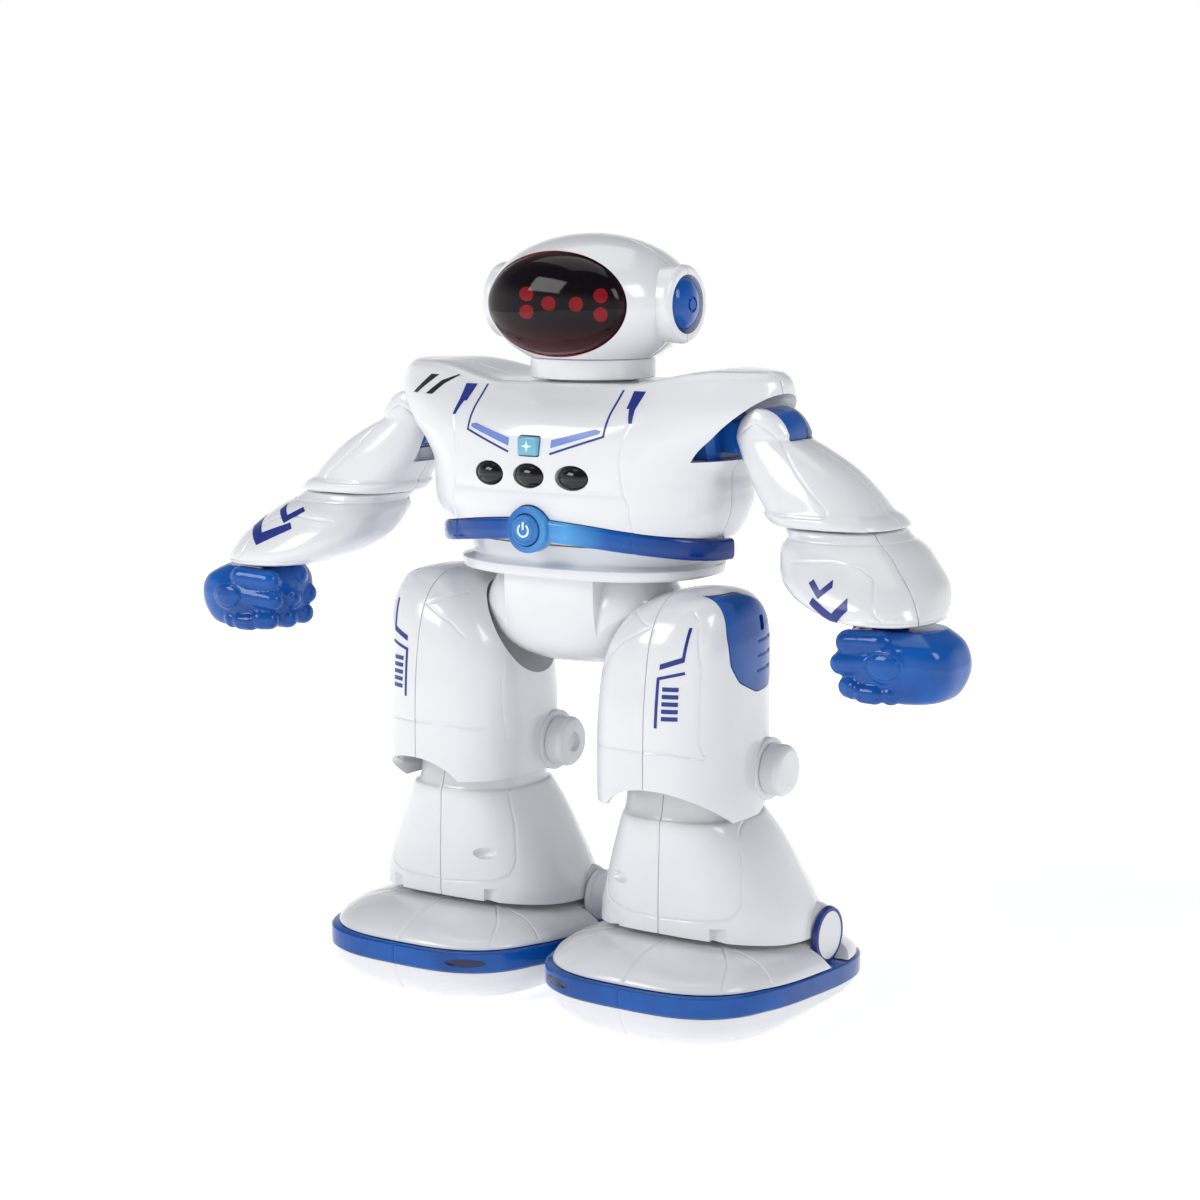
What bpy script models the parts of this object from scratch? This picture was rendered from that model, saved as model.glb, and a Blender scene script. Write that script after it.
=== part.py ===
"""Toy robot, standing, in metres: +Z up, the face looks along -Y, the robot's own left is +X.
The origin is on the floor in the middle of the footprint."""
import math

import bmesh
import bpy
from mathutils import Matrix, Vector

# Shells and clearances
WALL = 0.0018            # wall of the moulded shells
SEAM = 0.0004            # gap left between two shell halves
PLAY = 0.0004            # running clearance round pins, hubs and buttons

# Heights, from the floor up
ANKLE_Z = 0.0255
SHIN_LENGTH = 0.0580
THIGH_LENGTH = 0.0475
HIP_TO_FLANGE = 0.0160
FLANGE_TO_TORSO = 0.0110
TORSO_HEIGHT = 0.0535
NECK_LENGTH = 0.0260     # top of the chest to the middle of the head
KNEE_Z = ANKLE_Z + SHIN_LENGTH
HIP_Z = KNEE_Z + THIGH_LENGTH
FLANGE_Z = HIP_Z + HIP_TO_FLANGE
TORSO_Z = FLANGE_Z + FLANGE_TO_TORSO
TORSO_TOP = TORSO_Z + TORSO_HEIGHT
HEAD_Z = TORSO_TOP + NECK_LENGTH

# Head
HEAD_WIDTH = 0.0720
HEAD_DEPTH = 0.0690
HEAD_HEIGHT = 0.0464
VISOR_WIDTH = 0.0550
VISOR_HEIGHT = 0.0346
VISOR_BULGE = 0.0120
LED_RADIUS = 0.0024
EAR_RING_RADIUS = 0.0130
EAR_CAP_RADIUS = 0.0094
NECK_RADIUS = 0.0215

# Torso
WING_WIDTH = 0.1540
BARREL_WIDTH = 0.1150
TORSO_DEPTH = 0.0760
TORSO_SEAM_Y = -0.0040
WING_RISE = 0.0055       # how far the shoulder wings stand above the collar
LENS_RADIUS = 0.0052
LENS_PITCH = 0.0165
LENS_Z = TORSO_Z + 0.0237
BADGE_SIZE = 0.0078
BADGE_Z = TORSO_Z + 0.0335
BELT_HEIGHT = 0.0072
BELT_THICKNESS = 0.0046
BELT_ARCH = 0.0066       # the belt is this much higher in front than at its ends
BUTTON_RADIUS = 0.0052
FLANGE_WIDTH = 0.0945
PELVIS_WIDTH = 0.0740
PELVIS_DEPTH = 0.0560

# Arms
SHOULDER_X = 0.0715
SHOULDER_Y = -0.0025
SHOULDER_Z = TORSO_TOP - 0.0165
ARM_RADIUS = 0.0102      # round end of the upper arm
ARM_DEPTH = 0.0240
ARM_REACH_X = 0.0265     # shoulder hinge to the middle of the elbow face
ARM_DROP = 0.0265
ELBOW_WIDTH = 0.0440
ELBOW_DEPTH = 0.0400
ROTOR_RADIUS = 0.0138
TONGUE_WIDTH = 0.0140
FOREARM_DROP = 0.0265
FOREARM_WIDTH = 0.0490
FOREARM_DEPTH = 0.0450
WRIST_WIDTH = 0.0350
HAND_SIZE = 0.0300

# Legs and feet
SHIN_WIDTH = 0.0730      # at the hem
SHIN_X = SHIN_WIDTH / 2 + 0.0085
THIGH_X = SHIN_X - 0.0018
THIGH_Y = -0.0100
THIGH_WIDTH = 0.0510
THIGH_DEPTH = 0.0620
SHIN_DEPTH = 0.0660
KNEE_Y = 0.0040
KNEE_CAP_RADIUS = 0.0088
ANKLE_Y = 0.0170
ANKLE_CAP_RADIUS = 0.0100
PIN_RADIUS = 0.0030
FOOT_X = SHIN_X + 0.0010
FOOT_WIDTH = 0.0890
FOOT_LENGTH = 0.1100
BAND_Z = 0.0118          # underside of the coloured foot band in front
BAND_HEIGHT = 0.0068
BAND_FALL = 0.0050       # the band is this much lower at the heel
HEM_GAP = 0.0020
WHEEL_RADIUS = 0.0070
WHEEL_STAND = 0.0006     # the wheels stand this far below the sole
WHEEL_WIDTH = 0.0046
WHEEL_TRACK = 0.0170     # middle of the foot to the middle of a wheel
AXLE_RADIUS = 0.0014
TYRE_FLATS = 16          # a moulded tyre with small flats, one of them down
BLOCK_X = WHEEL_TRACK - 0.0050       # half the bearing block between a pair of wheels

SIDES = {"left": 1.0, "right": -1.0}


# ---------------------------------------------------------------- scene and materials

for stale in list(bpy.data.objects):
    bpy.data.objects.remove(stale, do_unlink=True)

parts = bpy.data.collections.new("ToyRobot")
cutters = bpy.data.collections.new("Cutters")
for group in (parts, cutters):
    bpy.context.scene.collection.children.link(group)


def material(name, colour, roughness, metallic=0.0):
    """A plain Principled material."""
    made = bpy.data.materials.new(name)
    made.use_nodes = True
    shader = made.node_tree.nodes["Principled BSDF"]
    shader.inputs["Base Color"].default_value = (*colour, 1.0)
    shader.inputs["Roughness"].default_value = roughness
    shader.inputs["Metallic"].default_value = metallic
    return made


WHITE = material("white_abs", (0.86, 0.87, 0.89), 0.25)
BLUE = material("blue_plastic", (0.02, 0.10, 0.52), 0.2)
SMOKE = material("smoked_visor", (0.03, 0.01, 0.012), 0.08)
RED = material("led_board", (0.35, 0.02, 0.02), 0.5)
TEAL = material("badge_teal", (0.20, 0.50, 0.66), 0.3)
BLACK = material("lens_black", (0.01, 0.01, 0.012), 0.12)
GREY = material("inner_grey", (0.25, 0.26, 0.28), 0.5)
STEEL = material("steel_pin", (0.6, 0.6, 0.62), 0.3, 1.0)
RUBBER = material("tyre_rubber", (0.03, 0.03, 0.03), 0.8)


# ---------------------------------------------------------------- modelling helpers

def place(bm, name, look, origin=(0, 0, 0), cutter=False, smooth=True):
    """Link a bmesh, given in world coordinates, as an object whose origin is at `origin`."""
    bmesh.ops.translate(bm, verts=bm.verts, vec=-Vector(origin))
    mesh = bpy.data.meshes.new(name)
    bm.to_mesh(mesh)
    bm.free()
    if smooth:
        mesh.shade_smooth()
        mesh.set_sharp_from_angle(angle=math.radians(35))
    thing = bpy.data.objects.new(name, mesh)
    thing.location = origin
    if cutter:
        thing.hide_render = True
        thing.display_type = "WIRE"
        cutters.objects.link(thing)
    else:
        mesh.materials.append(look)
        parts.objects.link(thing)
    return thing


def tool(bm, name):
    """A cutter: never part of the object itself."""
    return place(bm, name, None, cutter=True, smooth=False)


def combine(thing, operation, *others):
    """Add one exact Boolean that takes all the other objects at once."""
    group = bpy.data.collections.new(f"{operation.lower()}_{thing.name}")
    cutters.children.link(group)
    for other in others:
        group.objects.link(other)
    step = thing.modifiers.new(operation.title(), "BOOLEAN")
    step.operation = operation
    step.solver = "EXACT"
    step.operand_type = "COLLECTION"
    step.collection = group


def cut(thing, *others):
    combine(thing, "DIFFERENCE", *others)


def fuse(thing, *others):
    combine(thing, "UNION", *others)


def swung(count):
    """Angles once round a section."""
    return [2 * math.pi * step / count for step in range(count)]


def squircle(angle, power):
    """A point of the unit superellipse at this angle."""
    c, s = math.cos(angle), math.sin(angle)
    x = math.copysign(abs(c) ** (2 / power), c)
    y = math.copysign(abs(s) ** (2 / power), s)
    return x, y


def loft(sections, axis="Z", count=20, lift=None):
    """Skin closed sections (along, centre u, centre v, half u, half v, power) stacked on an axis.
    Both ends are closed. `lift` may move each point along the axis."""
    bm = bmesh.new()
    rings = []
    for along, cu, cv, hu, hv, power in sections:
        ring = []
        for angle in swung(count):
            x, y = squircle(angle, power)
            u, v, w = cu + hu * x, cv + hv * y, along
            if lift:
                w += lift(u, v, along)
            point = (u, v, w) if axis == "Z" else (u, w, v) if axis == "Y" else (w, u, v)
            ring.append(bm.verts.new(point))
        rings.append(ring)
    for low, high in zip(rings, rings[1:]):
        for i in range(count):
            j = (i + 1) % count
            bm.faces.new((low[i], low[j], high[j], high[i]))
    bm.faces.new(rings[0])
    bm.faces.new(rings[-1])
    bmesh.ops.remove_doubles(bm, verts=bm.verts, dist=1e-6)
    bmesh.ops.dissolve_degenerate(bm, edges=bm.edges, dist=1e-6)
    bmesh.ops.triangulate(bm, faces=bm.faces)
    bmesh.ops.recalc_face_normals(bm, faces=bm.faces)
    return bm


def row_at(sections, along):
    """The section at any height, between its two neighbours or copied past either end."""
    for low, high in zip(sections, sections[1:]):
        if low[0] <= along <= high[0]:
            t = (along - low[0]) / (high[0] - low[0])
            return (along, *(p + t * (q - p) for p, q in zip(low[1:], high[1:])))
    nearest = sections[0] if along < sections[0][0] else sections[-1]
    return (along, *nearest[1:])


def inset_sections(sections, wall, low=None, high=None):
    """The inside of a shell: sections a wall further in, from `low` above the bottom of the shell
    to `high` below its top (both a wall by default; a negative one runs past the end)."""
    start = sections[0][0] + (wall if low is None else low)
    stop = sections[-1][0] - (wall if high is None else high)
    rows = [row_at(sections, start)]
    rows += [row for row in sections if start + 0.0004 < row[0] < stop - 0.0004]
    rows.append(row_at(sections, stop))
    return [(a, cu, cv, max(hu - wall, 0.3 * hu), max(hv - wall, 0.3 * hv), p)
            for a, cu, cv, hu, hv, p in rows]


def box(low, high):
    """A box between two corners."""
    bm = bmesh.new()
    bmesh.ops.create_cube(bm, size=1.0)
    low, high = Vector(low), Vector(high)
    bmesh.ops.scale(bm, verts=bm.verts, vec=high - low)
    bmesh.ops.translate(bm, verts=bm.verts, vec=(low + high) / 2)
    return bm


def turned(profile, centre, axis="Z", steps=18):
    """A body of revolution: (radius, along) points from the high end of the axis to the low end."""
    turn = {"Z": Matrix.Identity(3),
            "X": Matrix.Rotation(math.radians(90), 3, "Y"),
            "Y": Matrix.Rotation(math.radians(-90), 3, "X")}[axis]
    bm = bmesh.new()
    chain = [bm.verts.new((radius, 0, along)) for radius, along in profile]
    edges = [bm.edges.new(pair) for pair in zip(chain, chain[1:])]
    bmesh.ops.spin(bm, geom=chain + edges, axis=(0, 0, 1), angle=2 * math.pi, steps=steps,
                   use_merge=True)
    bmesh.ops.remove_doubles(bm, verts=bm.verts, dist=1e-6)
    bmesh.ops.recalc_face_normals(bm, faces=bm.faces)
    bmesh.ops.transform(bm, matrix=turn.to_4x4(), verts=bm.verts)
    bmesh.ops.translate(bm, verts=bm.verts, vec=centre)
    return bm


def rod(radius, low, high, centre, axis="Z", steps=16, edge=0.0):
    """A plain round bar between two places along its axis, with an optional chamfer."""
    profile = [(0, high), (radius - edge, high)]
    if edge:
        profile.append((radius, high - edge))
        profile.append((radius, low + edge))
    else:
        profile[-1] = (radius, high)
        profile.append((radius, low))
    if edge:
        profile.append((radius - edge, low))
    profile.append((0, low))
    return turned(profile, centre, axis, steps)


def sided(bm, side):
    """Mirror a shape made for the left side to the right side."""
    if side < 0:
        bmesh.ops.scale(bm, verts=bm.verts, vec=(-1, 1, 1))
        bmesh.ops.reverse_faces(bm, faces=bm.faces)
    return bm


def beyond(axis, place_at, sign, name, reach=0.4):
    """A big block that fills everything past a plane, for splitting shells."""
    low, high = [-reach] * 3, [reach] * 3
    index = "XYZ".index(axis)
    if sign > 0:
        low[index] = place_at
    else:
        high[index] = place_at
    return tool(box(low, high), name)


# ---------------------------------------------------------------- head

head_centre = Vector((0, 0, HEAD_Z))
visor_face_y = -0.29 * HEAD_DEPTH
ear_x = HEAD_WIDTH / 2 + 0.0018


def egg(width, depth, height, name):
    bm = bmesh.new()
    bmesh.ops.create_uvsphere(bm, u_segments=18, v_segments=9, radius=1.0)
    bmesh.ops.scale(bm, verts=bm.verts, vec=(width / 2, depth / 2, height / 2))
    bmesh.ops.translate(bm, verts=bm.verts, vec=head_centre)
    return bm


head_hollow = tool(egg(HEAD_WIDTH - 2 * WALL, HEAD_DEPTH - 2 * WALL, HEAD_HEIGHT - 2 * WALL, ""),
                   "head_hollow")
visor_hole = tool(loft([(-HEAD_DEPTH, 0, HEAD_Z, VISOR_WIDTH / 2 + PLAY, VISOR_HEIGHT / 2 + PLAY, 2),
                        (-0.012, 0, HEAD_Z, VISOR_WIDTH / 2 + PLAY, VISOR_HEIGHT / 2 + PLAY, 2)],
                       "Y", 18), "visor_hole")
neck_hole = tool(rod(NECK_RADIUS - 0.0035 + PLAY, HEAD_Z - HEAD_HEIGHT, HEAD_Z, (0, 0, 0)),
                 "head_neck_hole")
neck_seat = tool(rod(NECK_RADIUS + PLAY, HEAD_Z - HEAD_HEIGHT, HEAD_Z - 0.38 * HEAD_HEIGHT,
                     (0, 0, 0)), "head_neck_seat")
ear_bosses, ear_holes = [], []
for label, side in SIDES.items():
    boss = rod(EAR_RING_RADIUS, 0.30 * HEAD_WIDTH, ear_x, (0, 0, HEAD_Z), "X", 14, 0.0012)
    ear_bosses.append(tool(sided(boss, side), f"ear_boss_{label}"))
    seat = rod(EAR_CAP_RADIUS + PLAY, 0.2 * HEAD_WIDTH, HEAD_WIDTH, (0, 0, HEAD_Z), "X", 12)
    ear_holes.append(tool(sided(seat, side), f"ear_hole_{label}"))
boss_hollow = []
for label, side in SIDES.items():
    inner = rod(EAR_RING_RADIUS - WALL, 0.28 * HEAD_WIDTH, ear_x - 2 * WALL, (0, 0, HEAD_Z), "X", 10)
    boss_hollow.append(tool(sided(inner, side), f"ear_boss_hollow_{label}"))

behind_head_seam = beyond("Y", -SEAM / 2, 1, "behind_head_seam")
before_head_seam = beyond("Y", SEAM / 2, -1, "before_head_seam")
neck_pivot = (0, 0, TORSO_TOP)
for name, far_side in (("head_front_shell", behind_head_seam), ("head_rear_shell", before_head_seam)):
    shell = place(egg(HEAD_WIDTH, HEAD_DEPTH, HEAD_HEIGHT, name), name, WHITE, neck_pivot)
    fuse(shell, *ear_bosses)
    cut(shell, head_hollow, *boss_hollow, *ear_holes, visor_hole, neck_hole, neck_seat, far_side)

visor_sections = [(visor_face_y + 0.0055, 0, HEAD_Z, VISOR_WIDTH / 2, VISOR_HEIGHT / 2, 2)]
for step in range(5):
    turn = math.radians(76) * step / 4
    size = math.cos(turn)
    visor_sections.append((visor_face_y - 0.002 - VISOR_BULGE * math.sin(turn), 0, HEAD_Z,
                           VISOR_WIDTH / 2 * size, VISOR_HEIGHT / 2 * size, 2))
visor = place(loft(visor_sections, "Y", 18), "visor", SMOKE, neck_pivot)
visor_inside = [(a + WALL, cu, cv, max(hu - WALL, WALL), max(hv - WALL, WALL), p)
                for a, cu, cv, hu, hv, p in visor_sections]
visor_inside[0] = (visor_face_y + 0.02, *visor_inside[0][1:])
cut(visor, tool(loft(visor_inside, "Y", 14), "visor_inside"))

led_places = [(-0.0155, 0.0022), (-0.0155, -0.0033), (-0.0075, -0.0005),
              (0.0020, -0.0005), (0.0105, 0.0022), (0.0105, -0.0033)]
board_y = visor_face_y + 0.0005
led_board = place(loft([(board_y, 0, HEAD_Z, 0.40 * VISOR_WIDTH, 0.36 * VISOR_HEIGHT, 2.4),
                        (board_y + 0.0016, 0, HEAD_Z, 0.40 * VISOR_WIDTH, 0.36 * VISOR_HEIGHT, 2.4)],
                       "Y", 12), "led_board", RED, neck_pivot)
for number, (x, z) in enumerate(led_places):
    lamp = rod(LED_RADIUS, -0.0034, 0.0010, (x, board_y, HEAD_Z + z), "Y", 8)
    fuse(led_board, tool(lamp, f"led_{number}"))

for label, side in SIDES.items():
    dome = [(0, ear_x + 0.0026), (0.5 * EAR_CAP_RADIUS, ear_x + 0.0020),
            (0.85 * EAR_CAP_RADIUS, ear_x + 0.0008), (EAR_CAP_RADIUS, ear_x - 0.0008),
            (EAR_CAP_RADIUS, ear_x - 0.0060), (0, ear_x - 0.0060)]
    place(sided(turned(dome, (0, 0, HEAD_Z), "X", 14), side), f"ear_cap_{label}", BLUE, neck_pivot)

neck_top = HEAD_Z - 0.38 * HEAD_HEIGHT - PLAY
neck_low = TORSO_TOP - 0.006
neck_profile = [(0.0085, neck_top), (NECK_RADIUS, neck_top),
                (NECK_RADIUS, TORSO_TOP + 0.0008), (NECK_RADIUS - 0.006, TORSO_TOP + 0.0008),
                (NECK_RADIUS - 0.006, neck_low), (NECK_RADIUS - 0.0035, neck_low),
                (NECK_RADIUS - 0.0035, neck_low - 0.0018), (0.0085, neck_low - 0.0018),
                (0.0085, neck_top)]
place(turned(neck_profile, (0, 0, 0), "Z", 18), "neck_ring", WHITE, neck_pivot)


# ---------------------------------------------------------------- torso

barrel, wing, half_depth = BARREL_WIDTH / 2, WING_WIDTH / 2, TORSO_DEPTH / 2


def wing_lift(u, v, along):
    """Shoulder wings rise above the collar near the top of the torso."""
    high = min(max((along - TORSO_Z) / TORSO_HEIGHT - 0.70, 0) / 0.25, 1)
    out = min(max((abs(u) - NECK_RADIUS - 0.001) / (0.45 * wing), 0), 1)
    return WING_RISE * high * out * out * (3 - 2 * out)


def torso_row(height, width, depth, power):
    return (TORSO_Z + height * TORSO_HEIGHT, 0, 0, width, depth * half_depth, power)


torso_sections = [torso_row(0.00, 0.80 * barrel, 0.78, 2.4), torso_row(0.05, 0.91 * barrel, 0.90, 2.4),
                  torso_row(0.20, 0.99 * barrel, 0.99, 2.4),
                  torso_row(0.48, 1.01 * barrel, 1.02, 2.4),
                  torso_row(0.60, 0.82 * wing, 1.01, 2.3), torso_row(0.72, 0.92 * wing, 0.97, 2.2),
                  torso_row(0.82, 0.99 * wing, 0.88, 2.1), torso_row(0.91, wing, 0.74, 2.0),
                  torso_row(0.96, 0.975 * wing, 0.66, 2.0), torso_row(1.00, 0.93 * wing, 0.60, 2.0)]


def lifted(sections, count=24):
    return loft(sections, "Z", count, wing_lift)


arm_pivot = Vector((SHOULDER_X, SHOULDER_Y, SHOULDER_Z))
socket_x = 0.63 * wing       # inner wall of the armhole
shelf_z = SHOULDER_Z - 0.0075                     # ledge under the arm
arch_depth, arch_height = 0.0200, 0.0222


def arch():
    """The armhole: a half-ellipse arch standing on the ledge, run outwards along X."""
    bm = bmesh.new()
    ring = []
    for step in range(9):
        turn = math.pi * step / 8
        y = SHOULDER_Y + arch_depth * math.cos(turn)
        z = shelf_z + arch_height * math.sin(turn)
        ring.append(bm.verts.new((socket_x, y, z)))
    face = bm.faces.new(ring)
    run = bmesh.ops.extrude_face_region(bm, geom=[face])
    moved = [item for item in run["geom"] if isinstance(item, bmesh.types.BMVert)]
    bmesh.ops.translate(bm, verts=moved, vec=(0.06, 0, 0))
    bmesh.ops.remove_doubles(bm, verts=bm.verts, dist=1e-6)
    bmesh.ops.recalc_face_normals(bm, faces=bm.faces)
    return bm


# The hollow is as wide as the barrel below the arms and stops at the rotors' wall above
ledge_under = shelf_z - WALL
hollow_rows = []
for row in inset_sections(torso_sections, WALL, low=-0.004):
    if row[0] < ledge_under:
        hollow_rows.append(row)
    else:
        if not [done for done in hollow_rows if done[0] >= ledge_under]:
            hollow_rows.append(row_at(inset_sections(torso_sections, WALL), ledge_under))
        hollow_rows.append((row[0], 0, 0, socket_x - WALL - 0.0010, row[4], 3.0))
torso_hollow = tool(lifted(hollow_rows, 20), "torso_hollow")
armholes, rotor_seats, hub_holes, flange_rooms = [], [], [], []
flange_x = socket_x - WALL - PLAY - 0.0026
for label, side in SIDES.items():
    armholes.append(tool(sided(arch(), side), f"armhole_{label}"))
    seat = rod(ROTOR_RADIUS + 0.0006, socket_x - 0.0003, socket_x + 0.0086,
               (0, SHOULDER_Y, SHOULDER_Z), "X", 14)
    rotor_seats.append(tool(sided(seat, side), f"rotor_seat_{label}"))
    hub = rod(0.0060 + PLAY, socket_x - 0.02, socket_x + 0.001, (0, SHOULDER_Y, SHOULDER_Z), "X", 12)
    hub_holes.append(tool(sided(hub, side), f"hub_hole_{label}"))
    flat = rod(0.0100, socket_x - 0.012, socket_x - WALL, (0, SHOULDER_Y, SHOULDER_Z), "X", 12)
    flange_rooms.append(tool(sided(flat, side), f"rotor_flange_room_{label}"))

collar_hole = tool(rod(NECK_RADIUS - 0.006 + PLAY, TORSO_TOP - 0.02, TORSO_TOP + 0.02, (0, 0, 0)),
                   "collar_hole")
front_y = -1.02 * half_depth
lens_spots = [(-LENS_PITCH, "right"), (0.0, "centre"), (LENS_PITCH, "left")]


def chest_surface_y(x, z):
    """Front of the chest at a place between two sections."""
    for low, high in zip(torso_sections, torso_sections[1:]):
        if low[0] <= z <= high[0]:
            t = (z - low[0]) / (high[0] - low[0])
            width = low[3] + t * (high[3] - low[3])
            depth = low[4] + t * (high[4] - low[4])
            power = low[5] + t * (high[5] - low[5])
            return -depth * (1 - abs(x / width) ** power) ** (1 / power)
    return front_y


lens_holes = []
for x, label in lens_spots:
    y = chest_surface_y(x, LENS_Z)
    lens_holes.append(tool(rod(LENS_RADIUS + PLAY, y - 0.01, y + 0.006, (x, 0, LENS_Z), "Y", 12),
                           f"lens_hole_{label}"))
badge_y = chest_surface_y(0, BADGE_Z)
badge_hole = tool(box((-BADGE_SIZE / 2 - PLAY, badge_y - 0.01, BADGE_Z - 0.4 * BADGE_SIZE - PLAY),
                      (BADGE_SIZE / 2 + PLAY, badge_y + 0.006, BADGE_Z + 0.4 * BADGE_SIZE + PLAY)),
                  "badge_hole")

belt_mid = TORSO_Z + 0.0058
belt_x, belt_y = 0.94 * barrel, 0.97 * half_depth


def belt_band(grow, thickness, height):
    """The belt's bar, swept round the front half of the waist and arched up in the middle."""
    bm = bmesh.new()
    rows = []
    count = 16
    for step in range(count + 1):
        turn = math.pi + math.pi * step / count
        x, y = belt_x * math.cos(turn), belt_y * math.sin(turn)
        z = belt_mid - BELT_ARCH * (abs(x) / belt_x) ** 1.6
        out = Vector((math.cos(turn) / belt_x, math.sin(turn) / belt_y, 0)).normalized()
        row = []
        for across, up in ((1, -1), (1, 1), (-1, 1), (-1, -1)):
            shift = out * across * (thickness / 2 + grow)
            row.append(bm.verts.new((x + shift.x, y + shift.y, z + up * (height / 2 + grow))))
        rows.append(row)
    for low, high in zip(rows, rows[1:]):
        for i in range(4):
            j = (i + 1) % 4
            bm.faces.new((low[i], low[j], high[j], high[i]))
    bm.faces.new(rows[0])
    bm.faces.new(rows[-1])
    bmesh.ops.recalc_face_normals(bm, faces=bm.faces)
    return bm


hub_y = -belt_y - BELT_THICKNESS / 2
belt_room = tool(belt_band(PLAY, BELT_THICKNESS, BELT_HEIGHT), "belt_room")
buckle_room = tool(rod(BUTTON_RADIUS + 0.0026 + PLAY, hub_y - 0.02, hub_y + BELT_THICKNESS + PLAY,
                       (0, 0, belt_mid), "Y", 14), "buckle_room")
switch_room = tool(rod(0.0030 + PLAY, hub_y, hub_y + 0.0120, (0, 0, belt_mid), "Y", 10), "switch_room")
door_low, door_high = TORSO_Z + 0.014, TORSO_Z + 0.042
back_y = half_depth
door_room = tool(box((-0.021 - PLAY, back_y - 0.0105, door_low - PLAY),
                     (0.021 + PLAY, back_y + 0.01, door_high + PLAY)), "door_room")
socket_room = tool(rod(0.0032, back_y - 0.012, back_y + 0.01, (0.012, 0, TORSO_Z + 0.0085), "Y", 10),
                   "charge_socket_hole")

behind_torso_seam = beyond("Y", TORSO_SEAM_Y - SEAM / 2, 1, "behind_torso_seam")
before_torso_seam = beyond("Y", TORSO_SEAM_Y + SEAM / 2, -1, "before_torso_seam")
chest_front = place(lifted(torso_sections), "chest_front_shell", WHITE)
cut(chest_front, torso_hollow, *armholes, *rotor_seats, *hub_holes, *flange_rooms, collar_hole, *lens_holes,
    badge_hole, belt_room, buckle_room, switch_room, behind_torso_seam)
chest_back = place(lifted(torso_sections), "chest_back_shell", WHITE)
cut(chest_back, torso_hollow, *armholes, *rotor_seats, *hub_holes, *flange_rooms, collar_hole, belt_room,
    door_room, socket_room, before_torso_seam)

for (x, label), hole in zip(lens_spots, lens_holes):
    y = chest_surface_y(x, LENS_Z)
    bead = [(0, y + 0.0050), (LENS_RADIUS, y + 0.0050), (LENS_RADIUS, y - 0.0002),
            (0.6 * LENS_RADIUS, y - 0.0012), (0, y - 0.0016)]
    place(turned(bead, (x, 0, LENS_Z), "Y", 12), f"sensor_lens_{label}", BLACK)

badge = box((-BADGE_SIZE / 2, badge_y - 0.0014, BADGE_Z - 0.4 * BADGE_SIZE),
            (BADGE_SIZE / 2, badge_y + 0.0050, BADGE_Z + 0.4 * BADGE_SIZE))
bmesh.ops.bevel(badge, geom=[e for e in badge.edges], offset=0.0006, segments=2, affect="EDGES",
                profile=0.5, material=-1)
place(badge, "badge_button", TEAL, (0, badge_y, BADGE_Z))

belt = place(belt_band(0, BELT_THICKNESS, BELT_HEIGHT), "belt", BLUE)
buckle = tool(rod(BUTTON_RADIUS + 0.0026, hub_y - 0.0012, hub_y + BELT_THICKNESS, (0, 0, belt_mid),
                  "Y", 14), "buckle")
button_bore = tool(rod(BUTTON_RADIUS + PLAY, hub_y - 0.01, hub_y + 0.0022, (0, 0, belt_mid), "Y", 14),
                   "button_bore")
stem_bore = tool(rod(0.0018 + PLAY, hub_y - 0.01, hub_y + 0.02, (0, 0, belt_mid), "Y", 8), "stem_bore")
fuse(belt, buckle)
cut(belt, button_bore, stem_bore)
push = [(0, hub_y + 0.0100), (0.0018, hub_y + 0.0100), (0.0018, hub_y + 0.0004),
        (BUTTON_RADIUS, hub_y + 0.0004), (BUTTON_RADIUS, hub_y - 0.0018),
        (0.85 * BUTTON_RADIUS, hub_y - 0.0026), (0, hub_y - 0.0029)]
place(turned(push, (0, 0, belt_mid), "Y", 14), "power_button", BLUE, (0, hub_y, belt_mid))

# Inside the torso: the circuit board behind the lenses, the speaker and the cells
board_front = chest_surface_y(LENS_PITCH, LENS_Z) + 0.0085
place(box((-0.034, board_front, LENS_Z - 0.012), (0.034, board_front + 0.0016, LENS_Z + 0.012)),
      "main_circuit_board", GREY, smooth=False)
place(rod(0.0115, board_front + 0.0030, board_front + 0.0110, (-0.018, 0, LENS_Z), "Y", 14),
      "speaker", BLACK)
case_back = back_y - 0.0115
place(box((-0.0245, case_back - 0.0150, door_low - 0.001), (0.0245, case_back, door_high + 0.001)),
      "battery_pack", GREY, smooth=False)
place(box((-0.021, back_y - 0.0088, door_low), (0.021, back_y - 0.0020, door_high)),
      "battery_door", WHITE)

# Waist: the flange ring with its spigot into the torso
waist_sections = [(FLANGE_Z, 0, 0, FLANGE_WIDTH / 2 - 0.0012, 0.96 * half_depth * 0.90, 2.4),
                  (FLANGE_Z + 0.0010, 0, 0, FLANGE_WIDTH / 2, 0.98 * half_depth * 0.90, 2.4),
                  (FLANGE_Z + 0.0036, 0, 0, FLANGE_WIDTH / 2, 0.98 * half_depth * 0.90, 2.4),
                  (FLANGE_Z + 0.0042, 0, 0, FLANGE_WIDTH / 2 - 0.004, 0.88 * half_depth * 0.90, 2.4),
                  (TORSO_Z - SEAM, 0, 0, 0.80 * barrel, 0.78 * half_depth, 2.4)]
waist = place(loft(waist_sections, "Z", 20), "waist_ring", WHITE)
waist_bore = tool(loft([(FLANGE_Z + 0.0024, 0, 0, 0.62 * barrel, 0.58 * half_depth, 2.4),
                        (TORSO_Z + 0.01, 0, 0, 0.72 * barrel, 0.68 * half_depth, 2.4)], "Z", 20),
                  "waist_bore")
cut(waist, waist_bore, belt_room, buckle_room)

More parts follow.
